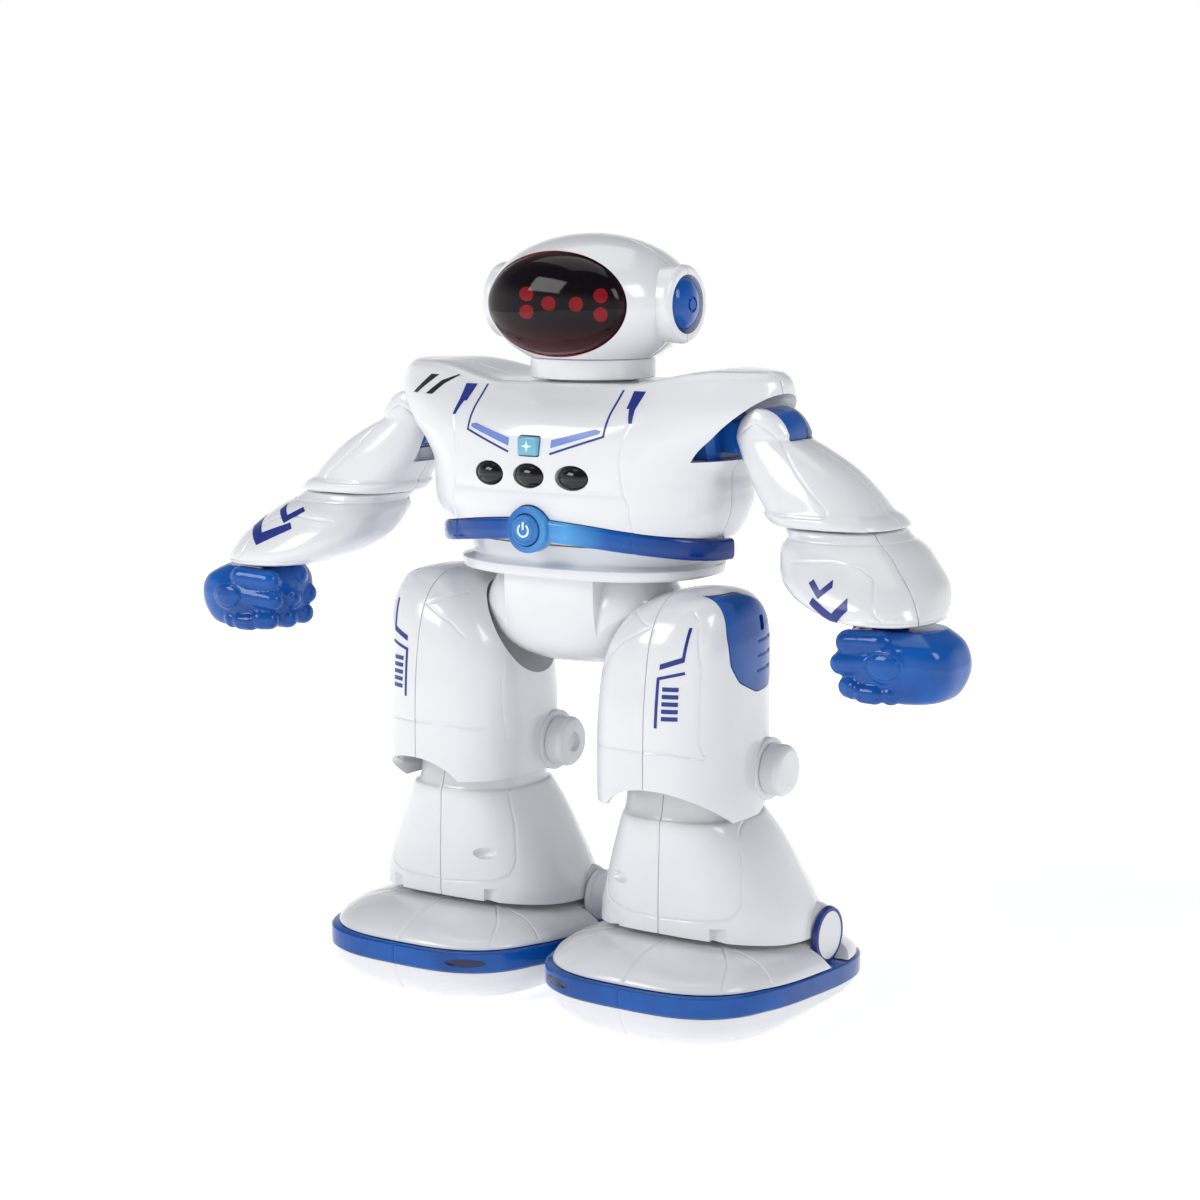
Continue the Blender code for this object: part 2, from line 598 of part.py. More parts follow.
# Pelvis: a bowl that fits between the two hip sockets
hip_y = -0.004
bowl = PELVIS_WIDTH / 2
deep = PELVIS_DEPTH / 2
hip_gap = 0.0008
HIP_SOCKET = 0.0220
inner_face = 0.0188      # half the slot between the two thighs
pelvis_low = HIP_Z - 0.0155
pelvis_sections = [(pelvis_low, 0, -0.001, 0.34 * bowl, 0.34 * deep, 2.0),
                   (pelvis_low + 0.0012, 0, -0.001, 0.55 * bowl, 0.56 * deep, 2.1),
                   (pelvis_low + 0.0050, 0, -0.001, 0.78 * bowl, 0.80 * deep, 2.2),
                   (pelvis_low + 0.0110, 0, -0.001, 0.93 * bowl, 0.94 * deep, 2.3),
                   (pelvis_low + 0.0190, 0, -0.001, bowl, deep, 2.4),
                   (FLANGE_Z - SEAM, 0, -0.001, 1.01 * bowl, 1.02 * deep, 2.4)]
pelvis = place(loft(pelvis_sections, "Z", 18), "pelvis_shell", WHITE)
pelvis_hollow = inset_sections(pelvis_sections, WALL, high=-0.004)
cut(pelvis, tool(loft(pelvis_hollow, "Z", 14), "pelvis_hollow"))


def hip_dome(reach, grow, out):
    """Profile of the hip joint's dome round the hip axis, as (radius, along)."""
    steps = 4
    points = []
    for step in range(steps + 1):
        turn = math.radians(90) * step / steps
        points.append(((HIP_SOCKET + grow) * math.sin(turn),
                       inner_face + grow + (reach - inner_face) * math.cos(turn)))
    return points + out


hip_reach = bowl + 0.001
keep_low = hip_dome(hip_reach, -hip_gap, [])
keep_profile = keep_low + [(0.06, inner_face - hip_gap), (0.06, -inner_face + hip_gap)]
keep_profile += [(radius, -along) for radius, along in reversed(keep_low)]
combine(pelvis, "INTERSECT", tool(turned(keep_profile, (0, hip_y, HIP_Z), "X", 14), "hip_room"))
hip_bore = tool(rod(PIN_RADIUS + PLAY, -0.08, 0.08, (0, hip_y, HIP_Z), "X", 10), "hip_bore")
cut(pelvis, hip_bore)
place(rod(PIN_RADIUS, -THIGH_X - 0.004, THIGH_X + 0.004, (0, hip_y, HIP_Z), "X", 12),
      "hip_axle", STEEL)


# ---------------------------------------------------------------- arms

def arm_row(fraction, power=2.6):
    """Level section of the upper arm between the hinge (0) and the elbow face (1)."""
    x = SHOULDER_X + ARM_REACH_X * fraction
    width = ARM_RADIUS + (ELBOW_WIDTH / 2 - ARM_RADIUS) * fraction ** 0.8
    depth = ARM_DEPTH / 2 + (ELBOW_DEPTH / 2 - ARM_DEPTH / 2) * fraction
    return (SHOULDER_Z - ARM_DROP * fraction, x, SHOULDER_Y, width, depth, power)


elbow = Vector((SHOULDER_X + ARM_REACH_X, SHOULDER_Y, SHOULDER_Z - ARM_DROP))
arm_sections = [arm_row(1), arm_row(0.94), arm_row(0.75), arm_row(0.5), arm_row(0.22)]
for step in range(5):
    turn = math.radians(84) * step / 4
    arm_sections.append((SHOULDER_Z + ARM_RADIUS * math.sin(turn), SHOULDER_X, SHOULDER_Y,
                         ARM_RADIUS * math.cos(turn), ARM_DEPTH / 2 * (1 - 0.22 * (step / 4) ** 2), 2.6))
wrist = elbow + Vector((0.0265, -0.0170, -FOREARM_DROP))


def forearm_row(fraction, width, depth, power=2.5):
    """Level section of the forearm between the elbow (0) and the wrist (1)."""
    bend = fraction ** 1.15
    return (elbow.z - SEAM * 2 - (FOREARM_DROP - SEAM * 2) * fraction,
            elbow.x + (wrist.x - elbow.x) * fraction, elbow.y + (wrist.y - elbow.y) * bend,
            width / 2, depth / 2, power)


forearm_sections = [forearm_row(1.0, 0.90 * WRIST_WIDTH, 0.78 * FOREARM_DEPTH),
                    forearm_row(0.95, 1.03 * WRIST_WIDTH, 0.84 * FOREARM_DEPTH),
                    forearm_row(0.80, 1.22 * WRIST_WIDTH, 0.95 * FOREARM_DEPTH),
                    forearm_row(0.60, FOREARM_WIDTH, FOREARM_DEPTH),
                    forearm_row(0.22, 0.94 * FOREARM_WIDTH, 0.95 * FOREARM_DEPTH),
                    forearm_row(0.10, 0.92 * ELBOW_WIDTH, 0.93 * ELBOW_DEPTH),
                    forearm_row(0.0, 0.91 * ELBOW_WIDTH, 0.92 * ELBOW_DEPTH)]
forearm_turn = math.atan2(wrist.y - elbow.y, wrist.x - elbow.x)


def hand_shape():
    """A closed fist: palm block, four curled fingers and a thumb across the front."""
    hand_top = wrist.z - 0.0006
    middle = Vector((wrist.x + 0.0095, wrist.y - 0.0030, hand_top - 0.0105))
    palm = loft([(hand_top - 0.0215, middle.x + 0.001, middle.y + 0.002, 0.0105, 0.0105, 2.4),
                 (hand_top - 0.0190, middle.x + 0.002, middle.y + 0.001, 0.0150, 0.0140, 2.5),
                 (hand_top - 0.0120, middle.x + 0.001, middle.y, 0.0185, 0.0165, 2.5),
                 (hand_top - 0.0050, middle.x - 0.002, middle.y + 0.001, 0.0180, 0.0165, 2.5),
                 (hand_top, middle.x - 0.004, middle.y + 0.002, 0.0150, 0.0145, 2.4)], "Z", 16)
    fingers = []
    for number in range(4):
        radius = 0.0048 - 0.0003 * number
        y = middle.y - 0.0125 + 0.0085 * number
        z = hand_top - 0.0095 - 0.0052 * min(number, 1.6)
        bar = rod(radius, middle.x - 0.0235 + 0.002 * number, middle.x, (0, y, z), "X", 8, 0.0018)
        fingers.append(bar)
    thumb = bmesh.new()
    bmesh.ops.create_uvsphere(thumb, u_segments=10, v_segments=5, radius=1.0)
    bmesh.ops.scale(thumb, verts=thumb.verts, vec=(0.0098, 0.0056, 0.0050))
    bmesh.ops.translate(thumb, verts=thumb.verts,
                        vec=(middle.x - 0.004, middle.y - 0.0155, hand_top - 0.0070))
    stub = rod(0.0060, hand_top - 0.006, hand_top + 0.0062, (wrist.x, wrist.y, 0), "Z", 12)
    return palm, fingers + [thumb], stub


for label, side in SIDES.items():
    pivot = Vector((side * arm_pivot.x, arm_pivot.y, arm_pivot.z))
    elbow_pivot = Vector((side * elbow.x, elbow.y, elbow.z))
    wrist_pivot = Vector((side * wrist.x, wrist.y, wrist.z))
    cx, cy, cz = arm_pivot

    # Rotor: retaining flange, hub, disc and the tongue that the arm hinges on
    rotor_profile = [(0, socket_x + 0.0080), (0.8 * ROTOR_RADIUS, socket_x + 0.0080),
                     (ROTOR_RADIUS, socket_x + 0.0062), (ROTOR_RADIUS, socket_x + PLAY),
                     (0.0060, socket_x + PLAY), (0.0060, flange_x + 0.0026),
                     (0.0090, flange_x + 0.0026), (0.0090, flange_x), (0, flange_x)]
    rotor = place(sided(turned(rotor_profile, (0, cy, cz), "X", 14), side),
                  f"shoulder_rotor_{label}", BLUE, (side * socket_x, cy, cz))
    disc = rod(ARM_RADIUS - 0.0002, -TONGUE_WIDTH / 2, TONGUE_WIDTH / 2, arm_pivot, "Y", 14)
    web = box((socket_x + 0.004, cy - TONGUE_WIDTH / 2 + 0.0005, cz - 0.005),
              (cx, cy + TONGUE_WIDTH / 2 - 0.0005, cz + 0.005))
    fuse(rotor, tool(sided(disc, side), f"tongue_{label}"), tool(sided(web, side), f"web_{label}"))
    hinge_bore = tool(sided(rod(PIN_RADIUS * 0.8 + PLAY, -0.03, 0.03, arm_pivot, "Y", 10), side),
                      f"hinge_bore_{label}")
    cut(rotor, hinge_bore)

    # Upper arm halves, slotted for the tongue; the front one carries the hinge pin
    play = 0.0005
    slot_half = TONGUE_WIDTH / 2 + play
    slots = [rod(ARM_RADIUS + play, -slot_half, slot_half, arm_pivot, "Y", 14),
             box((cx - 0.03, cy - slot_half, cz), (cx + 0.016, cy + slot_half, cz + 0.03)),
             box((cx - 0.0155, cy - slot_half, cz - 0.0150), (cx + 0.0005, cy + slot_half, cz + 0.001))]
    slot_tools = [tool(sided(bm, side), f"arm_slot_{number}_{label}") for number, bm in enumerate(slots)]
    arm_hollow = inset_sections(arm_sections[:5], WALL, low=WALL * 1.6, high=-0.0003)
    arm_hollow = tool(sided(loft(arm_hollow, "Z", 12), side), f"arm_hollow_{label}")
    twist_bore = tool(sided(rod(0.0070 + PLAY, -0.02, 0.0036, elbow, "Z", 12), side),
                      f"twist_bore_{label}")
    for half, sign in (("front", 1), ("back", -1)):
        other = beyond("Y", cy - sign * SEAM / 2, sign, f"arm_other_{half}_{label}")
        shell = place(sided(loft(arm_sections, "Z", 16), side), f"upper_arm_{half}_{label}", WHITE, pivot)
        cut(shell, arm_hollow, *slot_tools, twist_bore, other, *([hinge_bore] if sign < 0 else []))
        if sign > 0:
            pin = rod(PIN_RADIUS * 0.8, -slot_half - 0.0008, slot_half + 0.0030, arm_pivot, "Y", 10)
            fuse(shell, tool(sided(pin, side), f"hinge_pin_{label}"))

    # Forearm halves with the neck that turns in the elbow, split lengthways
    neck = turned([(0, elbow.z + 0.0058), (0.0090, elbow.z + 0.0058), (0.0090, elbow.z + 0.0040),
                   (0.0070, elbow.z + 0.0036), (0.0070, elbow.z - 0.004), (0, elbow.z - 0.004)],
                  (elbow.x, elbow.y, 0), "Z", 12)
    neck = tool(sided(neck, side), f"forearm_neck_{label}")
    wire_way = tool(sided(rod(0.0035, -0.012, 0.02, elbow, "Z", 8), side), f"wire_way_{label}")
    wrist_bore = tool(sided(rod(0.0060 + PLAY, -0.012, 0.0072, wrist, "Z", 12), side),
                      f"wrist_bore_{label}")
    fore_hollow = inset_sections(forearm_sections, WALL, low=WALL * 5, high=WALL * 1.3)
    fore_hollow = tool(sided(loft(fore_hollow, "Z", 12), side), f"forearm_hollow_{label}")
    for half, sign in (("front", 1), ("back", -1)):
        block = box((-0.2, 0, -0.2), (0.2, 0.2, 0.2)) if sign > 0 else box((-0.2, -0.2, -0.2), (0.2, 0, 0.2))
        bmesh.ops.translate(block, verts=block.verts, vec=(0, -sign * SEAM / 2, 0))
        bmesh.ops.rotate(block, verts=block.verts, matrix=Matrix.Rotation(forearm_turn, 3, "Z"))
        bmesh.ops.translate(block, verts=block.verts, vec=elbow)
        other = tool(sided(block, side), f"forearm_other_{half}_{label}")
        shell = place(sided(loft(forearm_sections, "Z", 16), side), f"forearm_{half}_{label}", WHITE,
                      elbow_pivot)
        fuse(shell, neck)
        cut(shell, fore_hollow, wire_way, wrist_bore, other)

    # Hand
    palm, extras, stub = hand_shape()
    hand = place(sided(palm, side), f"hand_{label}", BLUE, wrist_pivot)
    for number, bm in enumerate(extras + [stub]):
        fuse(hand, tool(sided(bm, side), f"hand_piece_{number}_{label}"))


# ---------------------------------------------------------------- legs

thigh_half, thigh_deep = THIGH_WIDTH / 2, THIGH_DEPTH / 2
thigh_low = KNEE_Z - 0.0145
thigh_top = HIP_Z + 0.0145
thigh_span = thigh_top - thigh_low


def thigh_row(height, shift, width, depth, power=2.5):
    return (thigh_low + height * thigh_span, THIGH_X + shift, THIGH_Y, width * thigh_half,
            depth * thigh_deep, power)


thigh_sections = [thigh_row(0.00, 0, 0.97, 0.93), thigh_row(0.10, 0, 1.0, 0.99),
                  thigh_row(0.50, 0.0002, 0.99, 0.985),
                  thigh_row(0.66, 0.001, 0.97, 0.94), thigh_row(0.79, 0.003, 0.90, 0.87),
                  thigh_row(0.89, 0.0055, 0.76, 0.75), thigh_row(0.96, 0.008, 0.55, 0.58),
                  thigh_row(1.00, 0.0095, 0.25, 0.34)]
shin_hem = 0.0195
shin_top = KNEE_Z + 0.0115


def shin_row(z, x, y, width, depth, power=2.5):
    return (z, SHIN_X + x, y, width * SHIN_WIDTH / 2, depth * SHIN_DEPTH / 2, power)


def up_shin(fraction):
    return shin_hem + fraction * (shin_top - shin_hem)


shin_inner_room = (thigh_half - WALL - 0.0032) / (SHIN_WIDTH / 2)
shin_sections = [shin_row(up_shin(0.00), 0.0010, 0.0045, 1.01, 1.00),
                 shin_row(up_shin(0.20), 0.0008, 0.0038, 0.99, 0.985),
                 shin_row(up_shin(0.36), 0.0002, 0.0015, 0.89, 0.91),
                 shin_row(up_shin(0.52), -0.0004, -0.0005, 0.775, 0.84),
                 shin_row(up_shin(0.635), -0.0014, -0.0045, 1.02 * shin_inner_room, 0.70),
                 shin_row(up_shin(0.68), -0.0018, -0.0050, shin_inner_room, 0.66),
                 shin_row(up_shin(0.86), -0.0018, -0.0045, 0.95 * shin_inner_room, 0.57),
                 shin_row(up_shin(1.00), -0.0018, -0.0010, 0.84 * shin_inner_room, 0.26)]

foot_half, foot_long = FOOT_WIDTH / 2, FOOT_LENGTH / 2


def foot_row(z, width, length, power=3.2, y=0.0):
    return (z, FOOT_X, y, foot_half * width, foot_long * length, power)


dome_low = BAND_Z + BAND_HEIGHT + SEAM
dome_top = ANKLE_Z + 0.0045


def dome_rows(grow):
    span = dome_top - dome_low
    rows = [(0.00, 0.985, 0.965, 3.0), (0.25, 0.95, 0.905, 2.9), (0.55, 0.81, 0.76, 2.6),
            (0.82, 0.56, 0.52, 2.3), (1.00, 0.22, 0.22, 2.0)]
    made = []
    for height, width, length, power in rows:
        z, x, y, a, b, p = foot_row(dome_low + height * span, width, length, power, 0.001)
        made.append((z + grow, x, y, a + grow, b + grow, p))
    return made


def band_fall(u, v, along):
    """The band and what meets it slope down from the toe to the heel."""
    t = min(max((v + 0.55 * foot_long) / (1.5 * foot_long), 0), 1)
    return -BAND_FALL * t


def sole_fall(u, v, along):
    """The sole's top edge follows the band, its underside stays level."""
    return band_fall(u, v, along) * max(along - 0.0022, 0) / (BAND_Z - SEAM - 0.0022)


band_rows = [foot_row(BAND_Z, 0.985, 0.985), foot_row(BAND_Z + 0.0010, 1.0, 1.0),
             foot_row(BAND_Z + BAND_HEIGHT - 0.0010, 1.0, 1.0),
             foot_row(BAND_Z + BAND_HEIGHT, 0.985, 0.985)]
sole_rows = [(WHEEL_STAND, 0.80, 0.84), (0.0022, 0.88, 0.90), (0.0060, 0.945, 0.950),
             (BAND_Z - SEAM, 0.975, 0.978)]

knee_out = thigh_half + 0.0074
ankle_out = 1.009 * SHIN_WIDTH / 2
axle_y = 0.62 * foot_long
axle_z = WHEEL_RADIUS

for label, side in SIDES.items():
    # Thigh halves, open below, with an arch over the shin in front and behind
    centre = Vector((THIGH_X, THIGH_Y, 0))
    hip_pivot = (side * THIGH_X, hip_y, HIP_Z)
    thigh_hollow = inset_sections(thigh_sections, WALL, low=-0.01, high=WALL * 1.2)
    thigh_hollow = tool(sided(loft(thigh_hollow, "Z", 16), side), f"thigh_hollow_{label}")
    socket = hip_dome(hip_reach, 0.0, [(0, 0)])
    socket.insert(-1, (HIP_SOCKET, 0))
    wall_keep = hip_dome(hip_reach, WALL, [(0, 0)])
    wall_keep.insert(-1, (HIP_SOCKET + WALL, 0))
    cut(thigh_hollow, tool(sided(turned(wall_keep, (0, hip_y, HIP_Z), "X", 12), side),
                           f"hip_wall_{label}"))
    hip_socket = tool(sided(turned(socket, (0, hip_y, HIP_Z), "X", 14), side), f"hip_socket_{label}")
    rim = loft([(-0.08, THIGH_X, thigh_low - 0.0005, 0.0215, 0.0135, 2.3),
                (0.08, THIGH_X, thigh_low - 0.0005, 0.0215, 0.0135, 2.3)], "Y", 16)
    rim_arch = tool(sided(rim, side), f"rim_arch_{label}")
    knee_bore = tool(sided(rod(PIN_RADIUS + PLAY, 0, 0.09, (0, KNEE_Y, KNEE_Z), "X", 10), side),
                     f"knee_bore_{label}")
    panel_room = tool(sided(box((THIGH_X + 0.62 * thigh_half, THIGH_Y - 0.002, HIP_Z - 0.0190),
                                (THIGH_X + 1.6 * thigh_half, THIGH_Y + 0.0185, HIP_Z + 0.0050)), side),
                      f"panel_room_{label}")
    for half, sign in (("inner", 1), ("outer", -1)):
        plane = side * (THIGH_X - sign * SEAM / 2)
        other = beyond("X", plane, sign * side, f"thigh_other_{half}_{label}")
        shell = place(sided(loft(thigh_sections, "Z", 16), side), f"thigh_{half}_{label}", WHITE, hip_pivot)
        windows = [panel_room] if half == "outer" else []
        cut(shell, thigh_hollow, hip_socket, rim_arch, knee_bore, hip_bore, other, *windows)
    panel = place(sided(loft(thigh_sections, "Z", 16), side), f"thigh_panel_{label}", BLUE, hip_pivot)
    inside = inset_sections(thigh_sections, WALL * 1.0, low=-0.01, high=WALL)
    inset_panel = box((THIGH_X + 0.62 * thigh_half + PLAY, THIGH_Y - 0.002 + PLAY, HIP_Z - 0.0190 + PLAY),
                      (THIGH_X + 1.6 * thigh_half, THIGH_Y + 0.0185 - PLAY, HIP_Z + 0.0050 - PLAY))
    combine(panel, "INTERSECT", tool(sided(inset_panel, side), f"panel_block_{label}"))
    cut(panel, tool(sided(loft(inside, "Z", 16), side), f"panel_inside_{label}"))

    # Knee pin with a cap at each end
    cap_in, cap_out = THIGH_X - knee_out, THIGH_X + knee_out
    seat_in, seat_out = THIGH_X - thigh_half - PLAY, THIGH_X + thigh_half + PLAY
    cap = KNEE_CAP_RADIUS
    knee_profile = [(0, cap_out), (0.88 * cap, cap_out), (cap, cap_out - 0.0014), (cap, seat_out),
                    (PIN_RADIUS, seat_out), (PIN_RADIUS, seat_in), (cap, seat_in),
                    (cap, cap_in + 0.0014), (0.88 * cap, cap_in), (0, cap_in)]
    place(sided(turned(knee_profile, (0, KNEE_Y, KNEE_Z), "X", 12), side), f"knee_pin_{label}", WHITE,
          (side * THIGH_X, KNEE_Y, KNEE_Z))

    # Shin halves, with the ankle hubs and the hem that clears the foot
    knee_pivot = (side * SHIN_X, KNEE_Y, KNEE_Z)
    shin_hollow = inset_sections(shin_sections, WALL, low=-0.004, high=WALL * 2)
    shin_hollow = tool(sided(loft(shin_hollow, "Z", 12), side), f"shin_hollow_{label}")
    hub_low, hub_high = FOOT_X - ankle_out, FOOT_X + ankle_out
    hub = tool(sided(rod(ANKLE_CAP_RADIUS, hub_low, hub_high, (0, ANKLE_Y, ANKLE_Z), "X", 12), side),
               f"ankle_hub_{label}")
    hub_inside = tool(sided(rod(ANKLE_CAP_RADIUS - WALL, hub_low + 2 * WALL, hub_high - 2 * WALL,
                                (0, ANKLE_Y, ANKLE_Z), "X", 10), side), f"ankle_hub_hollow_{label}")
    ankle_bore = tool(sided(rod(PIN_RADIUS + PLAY, 0, 0.1, (0, ANKLE_Y, ANKLE_Z), "X", 10), side),
                      f"ankle_bore_{label}")
    foot_room = dome_rows(HEM_GAP)
    foot_room.insert(0, (-0.01, *foot_room[0][1:]))
    foot_room = tool(sided(loft(foot_room, "Z", 16, band_fall), side), f"foot_room_{label}")
    for half, sign in (("inner", 1), ("outer", -1)):
        plane = side * (SHIN_X - sign * SEAM / 2)
        other = beyond("X", plane, sign * side, f"shin_other_{half}_{label}")
        shell = place(sided(loft(shin_sections, "Z", 16), side), f"shin_{half}_{label}", WHITE, knee_pivot)
        fuse(shell, hub)
        cut(shell, shin_hollow, hub_inside, foot_room, ankle_bore, knee_bore, other)

    # Ankle pin with caps
    cap = ANKLE_CAP_RADIUS - 0.0004
    low, high = hub_low - PLAY, hub_high + PLAY
    ankle_profile = [(0, high + 0.0020), (0.90 * cap, high + 0.0020), (cap, high + 0.0008), (cap, high),
                     (PIN_RADIUS, high), (PIN_RADIUS, low), (cap, low), (cap, low - 0.0008),
                     (0.90 * cap, low - 0.0020), (0, low - 0.0020)]
    place(sided(turned(ankle_profile, (0, ANKLE_Y, ANKLE_Z), "X", 12), side), f"ankle_pin_{label}",
          WHITE, (side * FOOT_X, ANKLE_Y, ANKLE_Z))

    # Foot: upper, coloured band and hollow sole, stacked on each other
    foot_pivot = (side * FOOT_X, ANKLE_Y, ANKLE_Z)
    upper = place(sided(loft(dome_rows(0.0), "Z", 20, band_fall), side), f"foot_upper_{label}", WHITE,
                  foot_pivot)
    upper_hollow = inset_sections(dome_rows(0.0), WALL, low=-0.004, high=WALL)
    cap_ends = ((FOOT_X - 0.06, hub_low + PLAY), (hub_high - PLAY, FOOT_X + 0.06))
    cap_rooms = [tool(sided(rod(ANKLE_CAP_RADIUS + 0.0008, *ends, (0, ANKLE_Y, ANKLE_Z), "X", 14), side),
                      f"ankle_cap_room_{number}_{label}") for number, ends in enumerate(cap_ends)]
    cut(upper, tool(sided(loft(upper_hollow, "Z", 12, band_fall), side), f"foot_upper_hollow_{label}"),
        ankle_bore, *cap_rooms)
    band = place(sided(loft(band_rows, "Z", 20, band_fall), side), f"foot_band_{label}", BLUE, foot_pivot)
    ring_rows = [foot_row(BAND_Z - 0.008, 0.93, 0.945), foot_row(BAND_Z + 0.02, 0.93, 0.945)]
    cut(band, tool(sided(loft(ring_rows, "Z", 16, band_fall), side), f"band_inside_{label}"))
    sole = place(sided(loft([foot_row(*row) for row in sole_rows], "Z", 20, sole_fall), side),
                 f"foot_sole_{label}", WHITE, foot_pivot)
    floor_rows = [foot_row(0.0030, 0.86, 0.87), foot_row(0.0060, 0.91, 0.91),
                  foot_row(BAND_Z + 0.004, 0.925, 0.925)]
    room = [tool(sided(loft(floor_rows, "Z", 12, sole_fall), side), f"sole_hollow_{label}")]
    axles = {"front": -axle_y, "rear": axle_y}
    for end, y in axles.items():
        for number, wheel_x in enumerate((-WHEEL_TRACK, WHEEL_TRACK)):
            low = (FOOT_X + wheel_x - WHEEL_WIDTH / 2 - 0.0008, y - WHEEL_RADIUS - 0.0008, -0.01)
            high = (FOOT_X + wheel_x + WHEEL_WIDTH / 2 + 0.0008, y + WHEEL_RADIUS + 0.0008, 0.01)
            room.append(tool(sided(box(low, high), side), f"wheel_slot_{end}_{number}_{label}"))
    cut(sole, *room)
    posts, post_bores = [], []
    for end, y in axles.items():
        block = box((FOOT_X - BLOCK_X, y - 0.0035, 0.0015), (FOOT_X + BLOCK_X, y + 0.0035, axle_z + 0.0034))
        posts.append(tool(sided(block, side), f"axle_block_{end}_{label}"))
        bore = rod(AXLE_RADIUS + PLAY, 0.0, 0.1, (0, y, axle_z), "X", 8)
        post_bores.append(tool(sided(bore, side), f"axle_bore_{end}_{label}"))
    fuse(sole, *posts)
    cut(sole, *post_bores)

    # Wheels: each pair turns with its axle
    rim_out, rim_in = WHEEL_TRACK + WHEEL_WIDTH / 2, WHEEL_TRACK - WHEEL_WIDTH / 2
    tread = WHEEL_RADIUS / math.cos(math.pi / TYRE_FLATS)
    half_profile = [(0, rim_out), (tread, rim_out), (tread, rim_in), (AXLE_RADIUS, rim_in)]
    wheel_profile = half_profile + [(radius, -along) for radius, along in reversed(half_profile)]
    for end, y in axles.items():
        pair = turned(wheel_profile, (0, 0, 0), "X", TYRE_FLATS)
        bmesh.ops.rotate(pair, verts=pair.verts, matrix=Matrix.Rotation(math.pi / TYRE_FLATS, 3, "X"))
        bmesh.ops.translate(pair, verts=pair.verts, vec=(FOOT_X, y, axle_z))
        place(sided(pair, side), f"wheels_{end}_{label}", RUBBER, (side * FOOT_X, y, axle_z))

    # Gear motor on the sole, ahead of the driven axle
    motor_y = axle_y - WHEEL_RADIUS - 0.0035
    place(sided(box((FOOT_X - 0.0105, motor_y - 0.0180, 0.0034), (FOOT_X + 0.0105, motor_y, 0.0150)), side),
          f"gear_motor_{label}", GREY, foot_pivot, smooth=False)
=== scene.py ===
"""Toy robot with wheels in its feet: the finished look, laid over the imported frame.
Metres, +Z up, the robot faces -Y and its own left is +X."""
import math

import bmesh
import bpy
from mathutils import Matrix, Vector
from mathutils.bvhtree import BVHTree
from mathutils.kdtree import KDTree


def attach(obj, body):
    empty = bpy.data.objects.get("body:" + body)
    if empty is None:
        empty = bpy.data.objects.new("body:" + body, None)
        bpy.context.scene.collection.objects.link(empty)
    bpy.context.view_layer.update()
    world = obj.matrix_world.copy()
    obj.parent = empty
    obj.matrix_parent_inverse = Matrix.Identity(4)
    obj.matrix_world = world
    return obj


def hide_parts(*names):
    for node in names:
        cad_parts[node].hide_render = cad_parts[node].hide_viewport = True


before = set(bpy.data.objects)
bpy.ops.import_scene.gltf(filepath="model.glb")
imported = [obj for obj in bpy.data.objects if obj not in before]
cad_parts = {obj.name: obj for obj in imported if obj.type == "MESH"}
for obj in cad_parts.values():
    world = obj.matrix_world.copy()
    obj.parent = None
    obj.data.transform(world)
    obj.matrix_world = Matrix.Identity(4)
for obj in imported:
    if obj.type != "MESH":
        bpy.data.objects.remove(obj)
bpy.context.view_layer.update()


# ---------------------------------------------------------------- camera, floor and light
# The camera stands at the robot's front left, a little above its shoulders, looking slightly
# down. The floor is one plain pale sheet with painted light: it glows, dimmer near the robot and
# white further out; soft boxes hang in front, to the left and to the right.
round_by, stand_off, eye_height, look_down = math.radians(33.58), 0.894, 0.273, math.radians(8.76)
lens = bpy.data.cameras.new("camera")
lens.lens = 78.7
lens.sensor_width = 36.0
lens.shift_x = 0.0058
lens.clip_start = 0.01
eye = bpy.data.objects.new("camera", lens)
eye.location = (stand_off * math.sin(round_by), -stand_off * math.cos(round_by), eye_height)
eye.rotation_euler = (math.pi / 2 - look_down, 0, round_by)
bpy.context.collection.objects.link(eye)
bpy.context.scene.camera = eye


class Wire:
    """One node output. Sums with numbers or other wires add Math nodes."""

    def __init__(self, tree, socket=None):
        self.tree, self.socket = tree, socket

    def node(self, kind, settings=None, sockets=None, out=0, stops=None):
        made = self.tree.nodes.new(kind)
        for key, value in (settings or {}).items():
            setattr(made, key, value)
        if stops:
            ramp = made.color_ramp
            while len(ramp.elements) < len(stops):
                ramp.elements.new(0.5)
            for element, (at, colour) in zip(ramp.elements, stops):
                element.position, element.color = at, (*colour, 1)
        for key, value in (sockets or {}).items():
            if isinstance(value, Wire):
                self.tree.links.new(value.socket, made.inputs[key])
            else:
                made.inputs[key].default_value = value
        return Wire(self.tree, made.outputs[out])

    def sum(self, operation, first, second):
        return self.node("ShaderNodeMath", {"operation": operation}, {0: first, 1: second})

    def __add__(self, other):
        return self.sum("ADD", self, other)

    __radd__ = __add__

    def __sub__(self, other):
        return self.sum("SUBTRACT", self, other)

    def __rsub__(self, other):
        return self.sum("SUBTRACT", other, self)

    def __mul__(self, other):
        return self.sum("MULTIPLY", self, other)

    __rmul__ = __mul__

    def blend(self, low, high):
        """Mix two colours by this value."""
        return self.node("ShaderNodeMix", {"data_type": "RGBA"},
                         {0: self, 6: (*low, 1), 7: (*high, 1)}, out=2)

    def feed(self, shader, name):
        self.tree.links.new(self.socket, shader.inputs[name])


def fresh(name):
    """A new material: itself, its shader, and the wire of places on the piece."""
    made = bpy.data.materials.new(name)
    made.use_nodes = True
    shader = made.node_tree.nodes["Principled BSDF"]
    return made, shader, Wire(made.node_tree).node("ShaderNodeTexCoord", out="Object")


